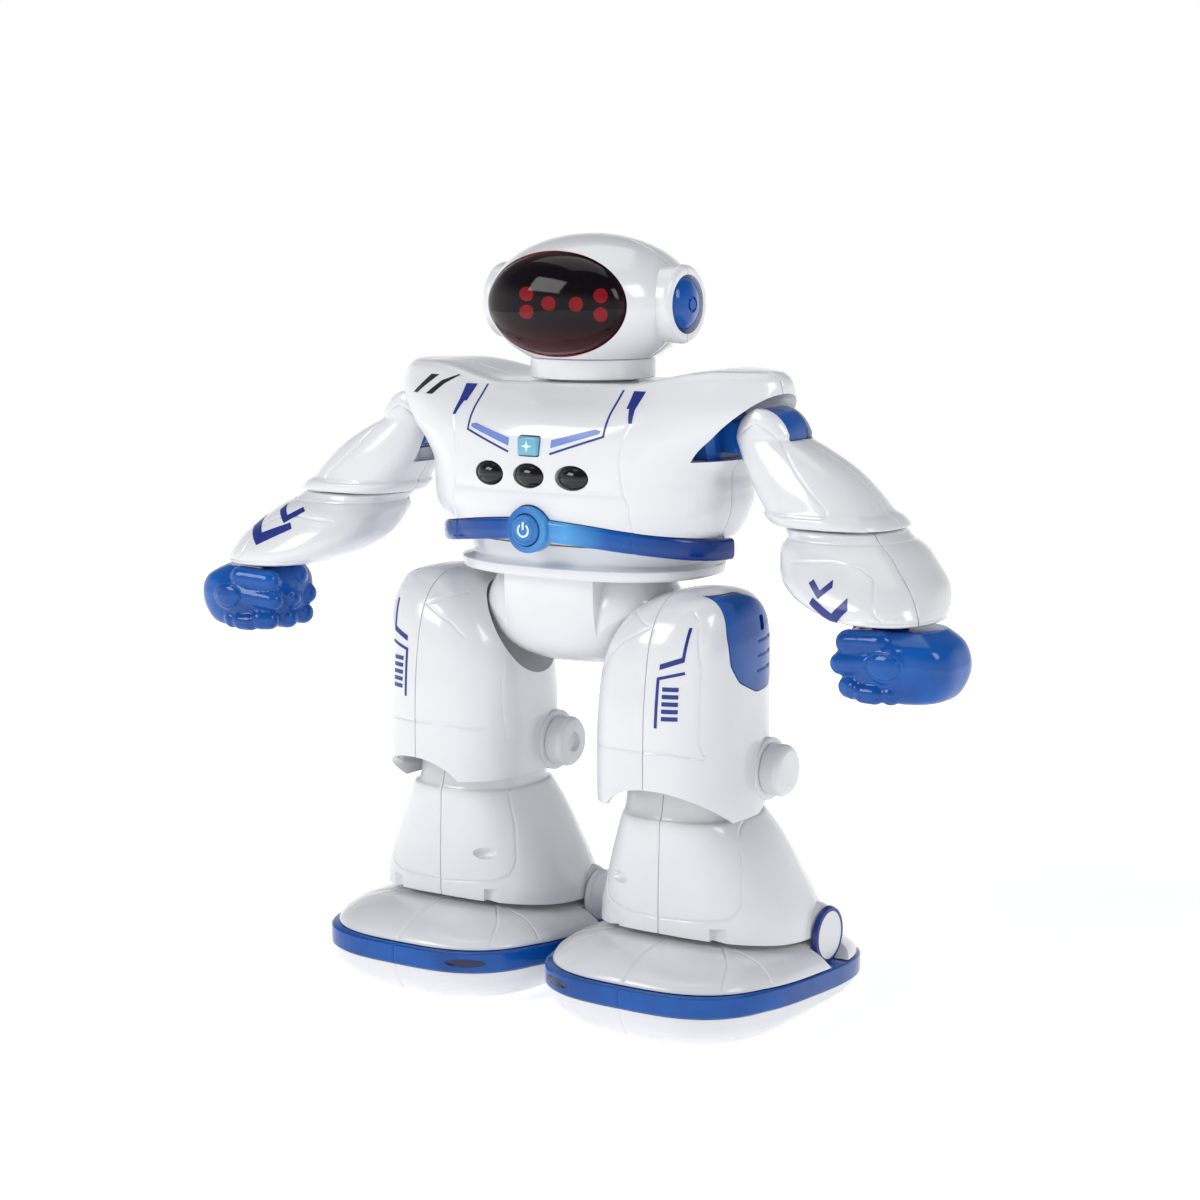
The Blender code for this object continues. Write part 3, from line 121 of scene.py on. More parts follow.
sheet = bmesh.new()
bmesh.ops.create_grid(sheet, x_segments=2, y_segments=2, size=1.1)
bmesh.ops.rotate(sheet, verts=sheet.verts, matrix=Matrix.Rotation(round_by, 3, "Z"))
floor_mesh = bpy.data.meshes.new("floor")
sheet.to_mesh(floor_mesh)
sheet.free()
floor = bpy.data.objects.new("floor", floor_mesh)
bpy.context.collection.objects.link(floor)
pale, paper, spot = fresh("floor_paper")
paper.inputs["Base Color"].default_value = (0.84, 0.84, 0.84, 1)
paper.inputs["Roughness"].default_value = 0.8
paper.inputs["Emission Strength"].default_value = 1.0
# Painted light: the floor glows at 0.54 out to 0.26 m from the robot and rises to white by 0.70 m.
away = spot.node("ShaderNodeVectorMath", {"operation": "LENGTH"}, {0: spot}, out="Value")
away.node("ShaderNodeValToRGB", sockets={0: away},
          stops=((0.26, (0.54, 0.54, 0.54)), (0.70, (1, 1, 1)))).feed(paper, "Emission Color")
floor_mesh.materials.append(pale)


def softbox(name, place, aim, size, watts, tint=(1, 1, 1)):
    box_light = bpy.data.lights.new(name, "AREA")
    box_light.shape = "RECTANGLE"
    box_light.size, box_light.size_y = size
    box_light.energy = watts
    box_light.color = tint
    lamp = bpy.data.objects.new(name, box_light)
    lamp.location = place
    lamp.rotation_euler = (Vector(aim) - Vector(place)).to_track_quat("-Z", "Y").to_euler()
    bpy.context.collection.objects.link(lamp)


softbox("box_left", (-0.55, -0.95, 0.85), (0, 0, 0.13), (0.6, 0.5), 6.5)
softbox("box_right", (0.95, -0.15, 0.80), (0, 0, 0.16), (0.30, 0.50), 3.0)
softbox("box_top", (-0.2, 0.2, 1.2), (0, 0, 0.1), (0.9, 0.9), 3.0)
room = bpy.data.worlds.new("room")
room.use_nodes = True
look = Wire(room.node_tree).node("ShaderNodeTexCoord", out="Generated")
climb = look.node("ShaderNodeSeparateXYZ", sockets={0: look}, out="Z")
climb.node("ShaderNodeValToRGB", sockets={0: climb}, stops=((0.10, (1, 1, 1)), (0.42, (0.16, 0.17, 0.19)))
           ).feed(room.node_tree.nodes["Background"], "Color")
bpy.context.scene.world = room
bpy.context.scene.view_settings.view_transform = "Standard"


# ---------------------------------------------------------------- head shells
# The head is an egg-shaped shell of glossy white ABS, moulded in a front and a rear half that
# meet over the ears. A round boss stands out at each ear, and a wide oval window opens the front.
def moulded(name, colour, shade, roughness, coat=0.0, grain=0.02, speck=90.0, gloss=0.5):
    """Moulded plastic: a faint cloud between two near tones, uneven gloss and a fine grain."""
    made, shader, place = fresh(name)
    cloud = place.node("ShaderNodeTexNoise", sockets={"Vector": place, "Scale": speck, "Detail": 3.0})
    fine = place.node("ShaderNodeTexNoise", sockets={"Vector": place, "Scale": 900.0, "Detail": 2.0})
    cloud.blend(colour, shade).feed(shader, "Base Color")
    (cloud * 0.06 + (roughness - 0.03)).feed(shader, "Roughness")
    fine.node("ShaderNodeBump", sockets={"Height": fine, "Strength": grain, "Distance": 0.0002}
              ).feed(shader, "Normal")
    shader.inputs["Coat Weight"].default_value = coat
    shader.inputs["Coat Roughness"].default_value = 0.06
    shader.inputs["Specular IOR Level"].default_value = gloss
    return made


white = moulded("glossy_white_abs", (0.73, 0.74, 0.765), (0.77, 0.78, 0.80), 0.18, 0.35)
SIDES = (("left", 1), ("right", -1))


def piece(bm, name, body, finish, nodes=None):
    """Turn a finished bmesh into a piece that rides on its body. It stands for the CAD node of its
    own name, unless others or none are given."""
    mesh = bpy.data.meshes.new(name)
    bm.to_mesh(mesh)
    bm.free()
    mesh.materials.append(finish)
    mesh.shade_smooth()
    mesh.set_sharp_from_angle(angle=math.radians(38))
    made = bpy.data.objects.new(name, mesh)
    bpy.context.collection.objects.link(made)
    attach(made, body)
    nodes = [name] if nodes is None else nodes
    if nodes:
        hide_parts(*nodes)


def holder(bm, name):
    """Hand a bmesh over to a scratch object."""
    mesh = bpy.data.meshes.new(name)
    bm.to_mesh(mesh)
    bm.free()
    made = bpy.data.objects.new(name, mesh)
    bpy.context.collection.objects.link(made)
    return made


def outcome(made):
    """The bmesh that a scratch object's modifiers give."""
    bpy.context.view_layer.update()
    seen = made.evaluated_get(bpy.context.evaluated_depsgraph_get())
    result = bmesh.new()
    result.from_mesh(seen.to_mesh())
    return result


def carve(bm, tools, operation="DIFFERENCE"):
    """Take solids away from a solid, or join them to it, and give back the clean result."""
    shapes = [holder(shape, "carve") for shape in (bm, *tools)]
    group = bpy.data.collections.new("carve_tools")
    for shape in shapes[1:]:
        group.objects.link(shape)
    step = shapes[0].modifiers.new("carve", "BOOLEAN")
    step.operation, step.solver, step.operand_type = operation, "EXACT", "COLLECTION"
    step.collection = group
    result = outcome(shapes[0])
    for shape in shapes:
        bpy.data.objects.remove(shape, do_unlink=True)
    bpy.data.collections.remove(group)
    return result


def half(bm, point, normal, soft=0.0002):
    """Keep the part of a solid behind a plane, close it there and soften the new edge."""
    cut = bmesh.ops.bisect_plane(bm, geom=bm.verts[:] + bm.edges[:] + bm.faces[:], plane_co=point,
                                 plane_no=normal, clear_outer=True)
    rim = [item for item in cut["geom_cut"] if isinstance(item, bmesh.types.BMEdge)]
    bmesh.ops.holes_fill(bm, edges=rim, sides=0)
    bmesh.ops.recalc_face_normals(bm, faces=bm.faces)
    if soft:
        bmesh.ops.bevel(bm, geom=rim, offset=soft, segments=2, affect="EDGES", profile=0.5, material=-1)
    return bm


def turned(profile, centre, axis="Z", steps=72):
    """A solid of revolution from (radius, along) points that run from the high end to the low end."""
    turn = {"Z": Matrix.Identity(4), "X": Matrix.Rotation(math.radians(90), 4, "Y"),
            "Y": Matrix.Rotation(math.radians(-90), 4, "X")}[axis]
    bm = bmesh.new()
    chain = [bm.verts.new((radius, 0, along)) for radius, along in profile]
    edges = [bm.edges.new(pair) for pair in zip(chain, chain[1:])]
    bmesh.ops.spin(bm, geom=chain + edges, axis=(0, 0, 1), angle=2 * math.pi, steps=steps,
                   use_merge=True)
    bmesh.ops.remove_doubles(bm, verts=bm.verts, dist=1e-6)
    bmesh.ops.transform(bm, matrix=Matrix.Translation(centre) @ turn, verts=bm.verts)
    bmesh.ops.recalc_face_normals(bm, faces=bm.faces)
    return bm


def filleted(corners, radius=0.0008, steps=4):
    """Round the inner corners of an open profile."""
    made = [corners[0]]
    for before, corner, after in zip(corners, corners[1:], corners[2:]):
        here = Vector(corner)
        back, on = Vector(before) - here, Vector(after) - here
        reach = min(radius, 0.45 * back.length, 0.45 * on.length)
        first, last = here + back.normalized() * reach, here + on.normalized() * reach
        for step in range(steps + 1):
            t = step / steps
            made.append(tuple((1 - t) ** 2 * first + 2 * t * (1 - t) * here + t * t * last))
    return made + [corners[-1]]


def round_bar(radius, low, high, centre=(0, 0, 0), axis="Z", soft=0.0, steps=72):
    """A round bar between two places along its axis, with its ends rounded if wanted."""
    profile = [(0, high), (radius, high), (radius, low), (0, low)]
    return turned(filleted(profile, soft) if soft else profile, centre, axis, steps)


def mirrored(bm, side):
    if side < 0:
        bmesh.ops.scale(bm, verts=bm.verts, vec=(-1, 1, 1))
        bmesh.ops.reverse_faces(bm, faces=bm.faces)
    return bm


def pair(bm, stem, body, finish, slot="white_abs", nodes=None):
    """The same piece for the left side and, mirrored, for the right side."""
    for label, side in SIDES:
        piece(mirrored(bm.copy(), side), f"{stem}_{label}", f"{body}_{label}", finish, nodes)
    bm.free()


head_z = 0.2375


def ball(centre, radii, around=64, up=40):
    bm = bmesh.new()
    bmesh.ops.create_uvsphere(bm, u_segments=around, v_segments=up, radius=1.0)
    bmesh.ops.scale(bm, verts=bm.verts, vec=radii)
    bmesh.ops.translate(bm, verts=bm.verts, vec=centre)
    return bm


def head_solid():
    ears = [mirrored(turned(filleted([(0, 0.0377), (0.0118, 0.0377), (0.0131, 0.0364), (0.0131, 0.0240),
                                      (0.0, 0.0240)], 0.0012), (0, 0, head_z), "X"), side)
            for label, side in SIDES]
    return carve(ball((0, 0, head_z), (0.0360, 0.0345, 0.02318), 96, 56), ears, "UNION")


def head_tools():
    tools = [mirrored(round_bar(0.0098, 0.0300, 0.05, (0, 0, head_z), "X"), side) for label, side in SIDES]
    window = round_bar(1, 0.0080, 0.05, axis="Y", steps=96)
    bmesh.ops.scale(window, verts=window.verts, vec=(0.0278, -1, 0.0176))
    bmesh.ops.reverse_faces(window, faces=window.faces)
    bmesh.ops.translate(window, verts=window.verts, vec=(0, 0, head_z))
    return tools + [window, round_bar(0.0220, 0.2000, 0.2192)]


seam_gap = 0.00012  # each moulding stands this far off the parting plane
whole_head = carve(head_solid(), head_tools())
for part_name, plane_y, toward in (("head_front_shell", -seam_gap, 1), ("head_rear_shell", seam_gap, -1)):
    piece(half(whole_head.copy(), (0, plane_y, 0), (0, toward, 0)), part_name, "head", white)
whole_head.free()


# ---------------------------------------------------------------- visor, lamps and ear caps
# The visor is one bulging oval of smoked see-through plastic, pressed into the window. Behind it
# a dark board carries six round red lamps. A blue see-through cap closes each ear boss.
def smoked():
    """See-through smoke that turns wine red towards the lower rim."""
    made, shader, place = fresh("smoked_visor")
    low = place.node("ShaderNodeSeparateXYZ", sockets={0: place}, out="Z")
    fade = low.node("ShaderNodeMapRange", sockets={"Value": low, "From Min": head_z - 0.004,
                                                   "From Max": head_z - 0.017})
    fade.blend((0.004, 0.003, 0.005), (0.055, 0.004, 0.008)).feed(shader, "Base Color")
    (fade * 0.03 + 0.05).feed(shader, "Roughness")
    shader.inputs["Alpha"].default_value = 0.84
    shader.inputs["Specular IOR Level"].default_value = 0.22
    return made


dome = ball((0, -0.0205, head_z), (0.0274, 0.0135, 0.0172), 96, 56)
back = ball((0, -0.0205, head_z), (0.0260, 0.0122, 0.0159), 96, 56)
dome = carve(half(dome, (0, -0.0205, 0), (0, 1, 0), 0), [back])
piece(dome, "visor", "head", smoked())

board_dark = moulded("lamp_board_black", (0.006, 0.004, 0.005), (0.010, 0.006, 0.007), 0.5)
plate = bmesh.new()
bmesh.ops.create_cube(plate, size=1.0)
bmesh.ops.scale(plate, verts=plate.verts, vec=(0.0440, 0.0012, 0.0240))
bmesh.ops.bevel(plate, geom=[e for e in plate.edges if abs(e.verts[0].co.y - e.verts[1].co.y) > 0.001],
                offset=0.009, segments=8, affect="EDGES", profile=0.5, material=-1)
bmesh.ops.translate(plate, verts=plate.verts, vec=(0, -0.0190, head_z))
piece(plate, "lamp_board", "head", board_dark, ["led_board"])


def lit(name, colour, glow):
    """A lamp's coloured dome, lit from inside."""
    made, shader, place = fresh(name)
    cloud = place.node("ShaderNodeTexNoise", sockets={"Vector": place, "Scale": 400.0})
    tone = cloud.blend(colour, (colour[0] * 0.8, *colour[1:]))
    tone.feed(shader, "Base Color")
    tone.feed(shader, "Emission Color")
    shader.inputs["Emission Strength"].default_value = glow
    shader.inputs["Roughness"].default_value = 0.3
    return made


lamp_red = lit("lamp_red", (1.0, 0.02, 0.03), 9.0)
lamp_places = ((-0.0134, 0.0030), (-0.0134, -0.0030), (-0.0044, 0.0000),
               (0.0066, 0.0000), (0.0164, 0.0030), (0.0164, -0.0032))
for number, (x, z) in enumerate(lamp_places):
    bead = ball((x, -0.0200, head_z + z), (0.0024, 0.0028, 0.0024), 24, 14)
    piece(bead, f"lamp_{number}", "head", lamp_red, ())

blue = moulded("see_through_blue", (0.001, 0.030, 0.190), (0.006, 0.130, 0.520), 0.12, 0.10, 0.01, 60.0,
               0.32)
for label, side in SIDES:
    cap = turned([(0.0, 0.0398), (0.0018, 0.0397), (0.0019, 0.0390), (0.0026, 0.0390), (0.0027, 0.0396),
                  (0.0058, 0.0387), (0.0078, 0.0375), (0.0090, 0.0359), (0.0094, 0.0340), (0.0094, 0.0310),
                  (0, 0.0310)], (0, 0, head_z), "X")
    piece(mirrored(cap, side), f"ear_cap_{label}", "head", blue)

neck = turned(filleted([(0, 0.2190), (0.0213, 0.2190), (0.0213, 0.2123), (0.0155, 0.2123),
                        (0.0155, 0.2052), (0, 0.2052)], 0.0006), (0, 0, 0), "Z", 96)
piece(neck, "neck_ring", "head", white)


# ---------------------------------------------------------------- chest shells
# The chest is a barrel that spreads into two shoulder wings, moulded in white ABS as a front and
# a back half. The arms pass through an arched hole under each wing.
chest_z, chest_high = 0.1580, 0.0535


def curve_rows(rows, count):
    """Run one smooth curve through rows of numbers and read it at even steps."""
    made = []
    for step in range(count + 1):
        where = step / count * (len(rows) - 1)
        i = min(int(where), len(rows) - 2)
        t = where - i
        a, b = rows[max(i - 1, 0)], rows[i]
        c, d = rows[i + 1], rows[min(i + 2, len(rows) - 1)]
        made.append([0.5 * (2 * q + (r - p) * t + (2 * p - 5 * q + 4 * r - s) * t * t
                            + (3 * q - p - 3 * r + s) * t ** 3) for p, q, r, s in zip(a, b, c, d)])
    return made


def skin(rows, around=120, up=90, warp=None, axis="Z"):
    """A closed body through rounded-oval rows (height, centre u, centre v, half u, half v, power)."""
    bm = bmesh.new()
    bmesh.ops.create_grid(bm, x_segments=around, y_segments=up, size=0.5)
    fine = curve_rows(rows, up)
    for vert in bm.verts:
        high, cu, cv, hu, hv, power = fine[round((vert.co.y + 0.5) * up)]
        turn = 2 * math.pi * (vert.co.x + 0.5)
        c, s = math.cos(turn), math.sin(turn)
        u = cu + hu * math.copysign(abs(c) ** (2 / power), c)
        v = cv + hv * math.copysign(abs(s) ** (2 / power), s)
        if warp:
            high += warp(u, v, high)
        vert.co = (u, v, high) if axis == "Z" else (u, high, v)
    bmesh.ops.remove_doubles(bm, verts=bm.verts, dist=2e-6)
    ends = [edge for edge in bm.edges if edge.is_boundary]
    bmesh.ops.holes_fill(bm, edges=ends, sides=0)
    bmesh.ops.recalc_face_normals(bm, faces=bm.faces)
    return bm


def wing_lift(u, v, high):
    """The shoulder wings rise above the collar."""
    up = min(max((high - chest_z) / chest_high - 0.70, 0) / 0.25, 1)
    out = min(max((abs(u) - 0.0225) / 0.03465, 0), 1)
    return 0.0055 * up * out * out * (3 - 2 * out)


def chest_row(height, width, depth, power):
    return (chest_z + height * chest_high, 0, 0, width, depth * 0.038, power)


chest_rows = [chest_row(*row) for row in
              ((0.00, 0.0460, 0.78, 2.4), (0.05, 0.0523, 0.90, 2.4), (0.20, 0.0569, 0.99, 2.4),
               (0.35, 0.0577, 1.01, 2.4), (0.48, 0.0581, 1.02, 2.4), (0.60, 0.0631, 1.01, 2.3),
               (0.72, 0.0708, 0.97, 2.2), (0.82, 0.0762, 0.88, 2.1), (0.91, 0.0770, 0.74, 2.0),
               (0.96, 0.0751, 0.66, 2.0), (0.99, 0.0716, 0.60, 2.0), (1.00, 0.0600, 0.52, 2.0),
               (1.00, 0.0400, 0.40, 2.0), (1.00, 0.0200, 0.22, 2.0), (1.00, 0.0010, 0.01, 2.0))]
shoulder = Vector((0.0715, -0.0025, 0.1950))
socket_x, ledge_z = 0.0485, 0.1875


def block(low, high, soft=0.0, steps=3):
    """A box between two corners, with every edge rounded if wanted."""
    bm = bmesh.new()
    bmesh.ops.create_cube(bm, size=1.0)
    low, high = Vector(low), Vector(high)
    bmesh.ops.scale(bm, verts=bm.verts, vec=high - low)
    bmesh.ops.translate(bm, verts=bm.verts, vec=(low + high) / 2)
    if soft:
        bmesh.ops.bevel(bm, geom=bm.edges[:], offset=soft, segments=steps, affect="EDGES",
                        profile=0.5, material=-1)
    return bm


def armhole(side):
    """A half-oval arch that stands on the ledge below the arm, run out past the wing's tip."""
    bm = round_bar(1, -0.04, 0.04, axis="X")
    bmesh.ops.scale(bm, verts=bm.verts, vec=(1, 0.0200, 0.0222))
    bmesh.ops.translate(bm, verts=bm.verts, vec=(socket_x + 0.04, shoulder.y, ledge_z))
    bm = half(bm, (0, 0, ledge_z), (0, 0, -1), 0)
    return mirrored(bm, side)


lens_x, lens_z, badge_z, belt_z = 0.0165, 0.1817, 0.1915, 0.1638


def sweep(path, section, along=120, around=24):
    """A bar of rounded-oval section (half out, half up) along a path of centre and outward side."""
    bm = bmesh.new()
    bmesh.ops.create_grid(bm, x_segments=around, y_segments=along, size=0.5)
    half_out, half_up, power = section
    for vert in bm.verts:
        centre, out = path(vert.co.y + 0.5)
        turn = 2 * math.pi * (vert.co.x + 0.5)
        c, s = math.cos(turn), math.sin(turn)
        vert.co = (centre + out * half_out * math.copysign(abs(c) ** (2 / power), c)
                   + Vector((0, 0, half_up * math.copysign(abs(s) ** (2 / power), s))))
    bmesh.ops.remove_doubles(bm, verts=bm.verts, dist=2e-6)
    bmesh.ops.holes_fill(bm, edges=[edge for edge in bm.edges if edge.is_boundary], sides=0)
    bmesh.ops.recalc_face_normals(bm, faces=bm.faces)
    return bm


def belt_path(t):
    turn = math.pi + math.pi * t
    x, y = 0.05405 * math.cos(turn), 0.03686 * math.sin(turn)
    out = Vector((math.cos(turn) / 0.05405, math.sin(turn) / 0.03686, 0)).normalized()
    return Vector((x, y, belt_z - 0.0066 * (abs(x) / 0.05405) ** 1.6)), out


def chest_tools():
    tools = [armhole(side) for label, side in SIDES]
    tools.append(round_bar(0.0159, 0.2040, 0.23))
    for x in (-lens_x, 0, lens_x):
        room = round_bar(0.0056, -0.05, -0.0330, axis="Y")
        bmesh.ops.scale(room, verts=room.verts, vec=(1.1, 1, 0.74))
        bmesh.ops.translate(room, verts=room.verts, vec=(x, 0, lens_z))
        tools.append(room)
    tools.append(block((-0.0043, -0.05, badge_z - 0.0035), (0.0043, -0.0320, badge_z + 0.0035), 0.0008))
    tools.append(sweep(belt_path, (0.0026, 0.0039, 5.0)))
    tools.append(round_bar(0.0083, -0.05, -0.0330, (0, 0, belt_z), "Y"))
    return tools


looks = {"front": ((1, 0, 0), (0, 0, 1), (0, 1, 0)), "back": ((1, 0, 0), (0, 0, 1), (0, -1, 0)),
         "outer": ((0, 1, 0), (0, 0, 1), (-1, 0, 0)), "inner": ((0, 1, 0), (0, 0, 1), (1, 0, 0)),
         "above": ((1, 0, 0), (0, 1, 0), (0, 0, -1))}


def lay(tree, across, up, view):
    """Drop a flat place onto the skin: where it lands and which way the skin faces there."""
    u, v, way = (Vector(axis) for axis in looks[view])
    return tree.ray_cast(u * across + v * up - way, way)[:2]


def line(tree, corners, view="front", soft=0.0015, step=0.0005):
    """A line of places on the skin under a flat line with rounded corners."""
    flat = [Vector(corner) for corner in filleted(corners, soft)]
    places = []
    for first, last in zip(flat, flat[1:]):
        count = max(1, int((last - first).length / step))
        places += [lay(tree, *first.lerp(last, number / count), view)[0] for number in range(count)]
    return [place for place in places + [lay(tree, *flat[-1], view)[0]] if place]


def girdle(tree, centre, count=240):
    """A closed level line round a body, seen from a centre."""
    turns = [2 * math.pi * i / count for i in range(count + 1)]
    ways = [Vector((math.cos(turn), math.sin(turn), 0)) for turn in turns]
    found = [tree.ray_cast(Vector(centre) + way * 0.2, -way)[0] for way in ways]
    return [place for place in found if place]


def groove(bm, lines, width=0.0004, depth=0.00032):
    """Press fine moulding lines into the skin: cut the mesh finer beside them, then sink it."""
    places = []
    for path in lines:
        for first, last in zip(path, path[1:]):
            gap = (last - first).length
            count = max(1, int(gap / 0.00012)) if gap < 0.004 else 1
            places += [first.lerp(last, number / count) for number in range(count)]
    tree = KDTree(len(places))
    for number, place in enumerate(places):
        tree.insert(place, number)
    tree.balance()
    low = [min(place[i] for place in places) - 0.004 for i in range(3)]
    high = [max(place[i] for place in places) + 0.004 for i in range(3)]

    def inside(co):
        return all(a < c < b for a, c, b in zip(low, co, high))

    bmesh.ops.triangulate(bm, faces=bm.faces)
    for size in (0.0032, 0.0016, 0.0008, 0.0004):
        near = []
        for edge in bm.edges:
            length = edge.calc_length()
            middle = (edge.verts[0].co + edge.verts[1].co) / 2
            if length > size and inside(middle) and tree.find(middle)[2] < 0.5 * length + 2.4 * width:
                near.append(edge)
        bmesh.ops.subdivide_edges(bm, edges=near, cuts=1)
        bmesh.ops.triangulate(bm, faces=bm.faces)
    bm.normal_update()
    moves = []
    for vert in bm.verts:
        if inside(vert.co):
            away = tree.find(vert.co)[2]
            if away < 3 * width:
                moves.append((vert, vert.normal * (-depth * math.exp(-(away / width) ** 2))))
    for vert, move in moves:
        vert.co += move
    return bm


def joined(shapes):
    """Put closed shapes together in one bmesh."""
    whole = bmesh.new()
    for shape in shapes:
        mesh = bpy.data.meshes.new("shape")
        shape.to_mesh(mesh)
        shape.free()
        whole.from_mesh(mesh)
        bpy.data.meshes.remove(mesh)
    return whole


def film(tree, shapes, view="front", cell=0.0007):
    """Thin printed film in flat convex shapes, laid on the skin."""
    films = []
    for shape in shapes:
        us, vs = [corner[0] for corner in shape], [corner[1] for corner in shape]
        wide, tall = max(us) - min(us), max(vs) - min(vs)
        bm = bmesh.new()
        bmesh.ops.create_grid(bm, x_segments=int(wide / cell) + 2, y_segments=int(tall / cell) + 2, size=0.5)
        bmesh.ops.scale(bm, verts=bm.verts, vec=(wide, tall, 1))
        bmesh.ops.translate(bm, verts=bm.verts, vec=((max(us) + min(us)) / 2, (max(vs) + min(vs)) / 2, 0))
        edges = list(zip(shape, shape[1:] + shape[:1]))
        turn = math.copysign(1, sum(a[0] * b[1] - b[0] * a[1] for a, b in edges))
        for a, b in edges:
            bmesh.ops.bisect_plane(bm, geom=bm.verts[:] + bm.edges[:] + bm.faces[:], plane_co=(*a, 0),
                                   plane_no=((b[1] - a[1]) * turn, (a[0] - b[0]) * turn, 0),
                                   clear_outer=True)
        missed = []
        for vert in bm.verts:
            place, facing = lay(tree, vert.co.x, vert.co.y, view)
            if place:
                vert.co = place + facing * 0.00012
            else:
                missed.append(vert)
        bmesh.ops.delete(bm, geom=missed, context="VERTS")
        bmesh.ops.solidify(bm, geom=bm.faces[:], thickness=0.00009)
        bmesh.ops.recalc_face_normals(bm, faces=bm.faces)
        films.append(bm)
    return joined(films)


def stroke(corners, width):
    """Flat convex shapes that make an even line through the corners."""
    made = []
    for first, last in zip(corners, corners[1:]):
        a, b = Vector(first), Vector(last)
        along = (b - a).normalized() * (width / 2)
        across = Vector((-along.y, along.x))
        made.append([tuple(a - along * 0.6 + across), tuple(a - along * 0.6 - across),
                     tuple(b + along * 0.6 - across), tuple(b + along * 0.6 + across)])
    return made


def flipped(shapes):
    return [[(-u, v) for u, v in reversed(shape)] for shape in shapes]


navy = moulded("printed_navy", (0.006, 0.020, 0.180), (0.008, 0.030, 0.240), 0.35, 0.1)
lilac = moulded("printed_lilac", (0.110, 0.180, 0.520), (0.160, 0.240, 0.600), 0.35, 0.1)
black = moulded("printed_black", (0.006, 0.006, 0.007), (0.012, 0.012, 0.013), 0.35, 0.1)

whole_chest = carve(skin(chest_rows, 180, 130, wing_lift), chest_tools())
shell = half(whole_chest.copy(), (0, -0.00415, 0), (0, 1, 0))
tree = BVHTree.FromBMesh(shell)
seam = [(0.0350, 0.1995), (0.0336, 0.1950), (0.0330, 0.1870), (0.0340, 0.1770), (0.0358, 0.1732),
        (0.0354, 0.1590)]
groove(shell, [line(tree, seam), line(tree, [(-x, z) for x, z in seam])])
groove(shell, [line(tree, [(-0.0335, 0.1766), (0.0335, 0.1766)])], 0.0009, 0.00028)
tree = BVHTree.FromBMesh(shell)
piece(shell, "chest_front_shell", "torso", white)

stripe = [[(0.0316, 0.2099), (0.0362, 0.2099), (0.0354, 0.2045), (0.0322, 0.2045)],
          [(0.0332, 0.2045), (0.0354, 0.2045), (0.0360, 0.2000), (0.0348, 0.2000)]]
stripe += stroke([(0.0274, 0.2098), (0.0272, 0.1956), (0.0085, 0.1893)], 0.0007)
piece(film(tree, stripe + flipped(stripe)), "chest_stripes", "torso", navy, ())
bar = [[(0.0085, 0.1912), (0.0256, 0.1964), (0.0260, 0.1974), (0.0238, 0.1978), (0.0085, 0.1938)]]
piece(film(tree, bar + flipped(bar)), "chest_bars", "torso", lilac, ())
mark = [[(-0.0610, 0.2058), (-0.0585, 0.2058), (-0.0500, 0.2122), (-0.0540, 0.2122)],
        [(-0.0530, 0.2058), (-0.0496, 0.2058), (-0.0455, 0.2096), (-0.0475, 0.2104)],
        [(-0.0455, 0.2096), (-0.0475, 0.2104), (-0.0410, 0.2126), (-0.0405, 0.2124)]]
piece(film(tree, mark), "wing_mark", "torso", black, ())

wells = [turned([(0, 0.05), (0.0026, 0.05), (0.0026, deep), (0.0012, deep - 0.0012), (0, deep - 0.0012)],
                (x, 0, z), "Y", 32) for x, z, deep in ((0.045, 0.198, 0.0265), (-0.045, 0.198, 0.0265),
                                                      (0.041, 0.166, 0.0280), (-0.041, 0.166, 0.0280))]
wells.append(round_bar(0.0032, 0.0300, 0.05, (0.012, 0, 0.1665), "Y", steps=40))
wells.append(block((-0.0214, 0.0345, 0.1716), (0.0214, 0.05, 0.2004), 0.0006))
shell = carve(half(whole_chest, (0, -0.00385, 0), (0, -1, 0)), wells)
tree = BVHTree.FromBMesh(shell)
groove(shell, [line(tree, [(-0.0300, 0.1640), (-0.0330, 0.1690), (-0.0330, 0.2020), (-0.0260, 0.2065),
                           (0.0260, 0.2065), (0.0330, 0.2020), (0.0330, 0.1690), (0.0300, 0.1640)], "back")])
piece(shell, "chest_back_shell", "torso", white)


# ---------------------------------------------------------------- chest fittings
# Three domed black lenses, a small square button between the stripes, and a battery door with a
# grip at the back. The door is held by its edge and one screw.
lens_black = moulded("lens_black", (0.003, 0.003, 0.004), (0.006, 0.006, 0.008), 0.07, 0.0, 0.0)
for x, label in ((-lens_x, "right"), (0, "centre"), (lens_x, "left")):
    y = -0.0388 if x == 0 else -0.0376
    bead = turned([(0, y - 0.0018), (0.0020, y - 0.0016), (0.0036, y - 0.0009), (0.0046, y + 0.0003),
                   (0.0052, y + 0.0008), (0.0052, y + 0.0050), (0, y + 0.0050)][::-1],
                  (0, 0, 0), "Y", 64)
    bmesh.ops.scale(bead, verts=bead.verts, vec=(1.1, 1, 0.74))
    bmesh.ops.translate(bead, verts=bead.verts, vec=(x, 0, lens_z))
    piece(bead, f"sensor_lens_{label}", "torso", lens_black)



def on_ring(radius, turn, high, squash=1.0):
    """A place on a flat ring round the middle line."""
    return (radius * math.cos(turn), high + squash * radius * math.sin(turn))


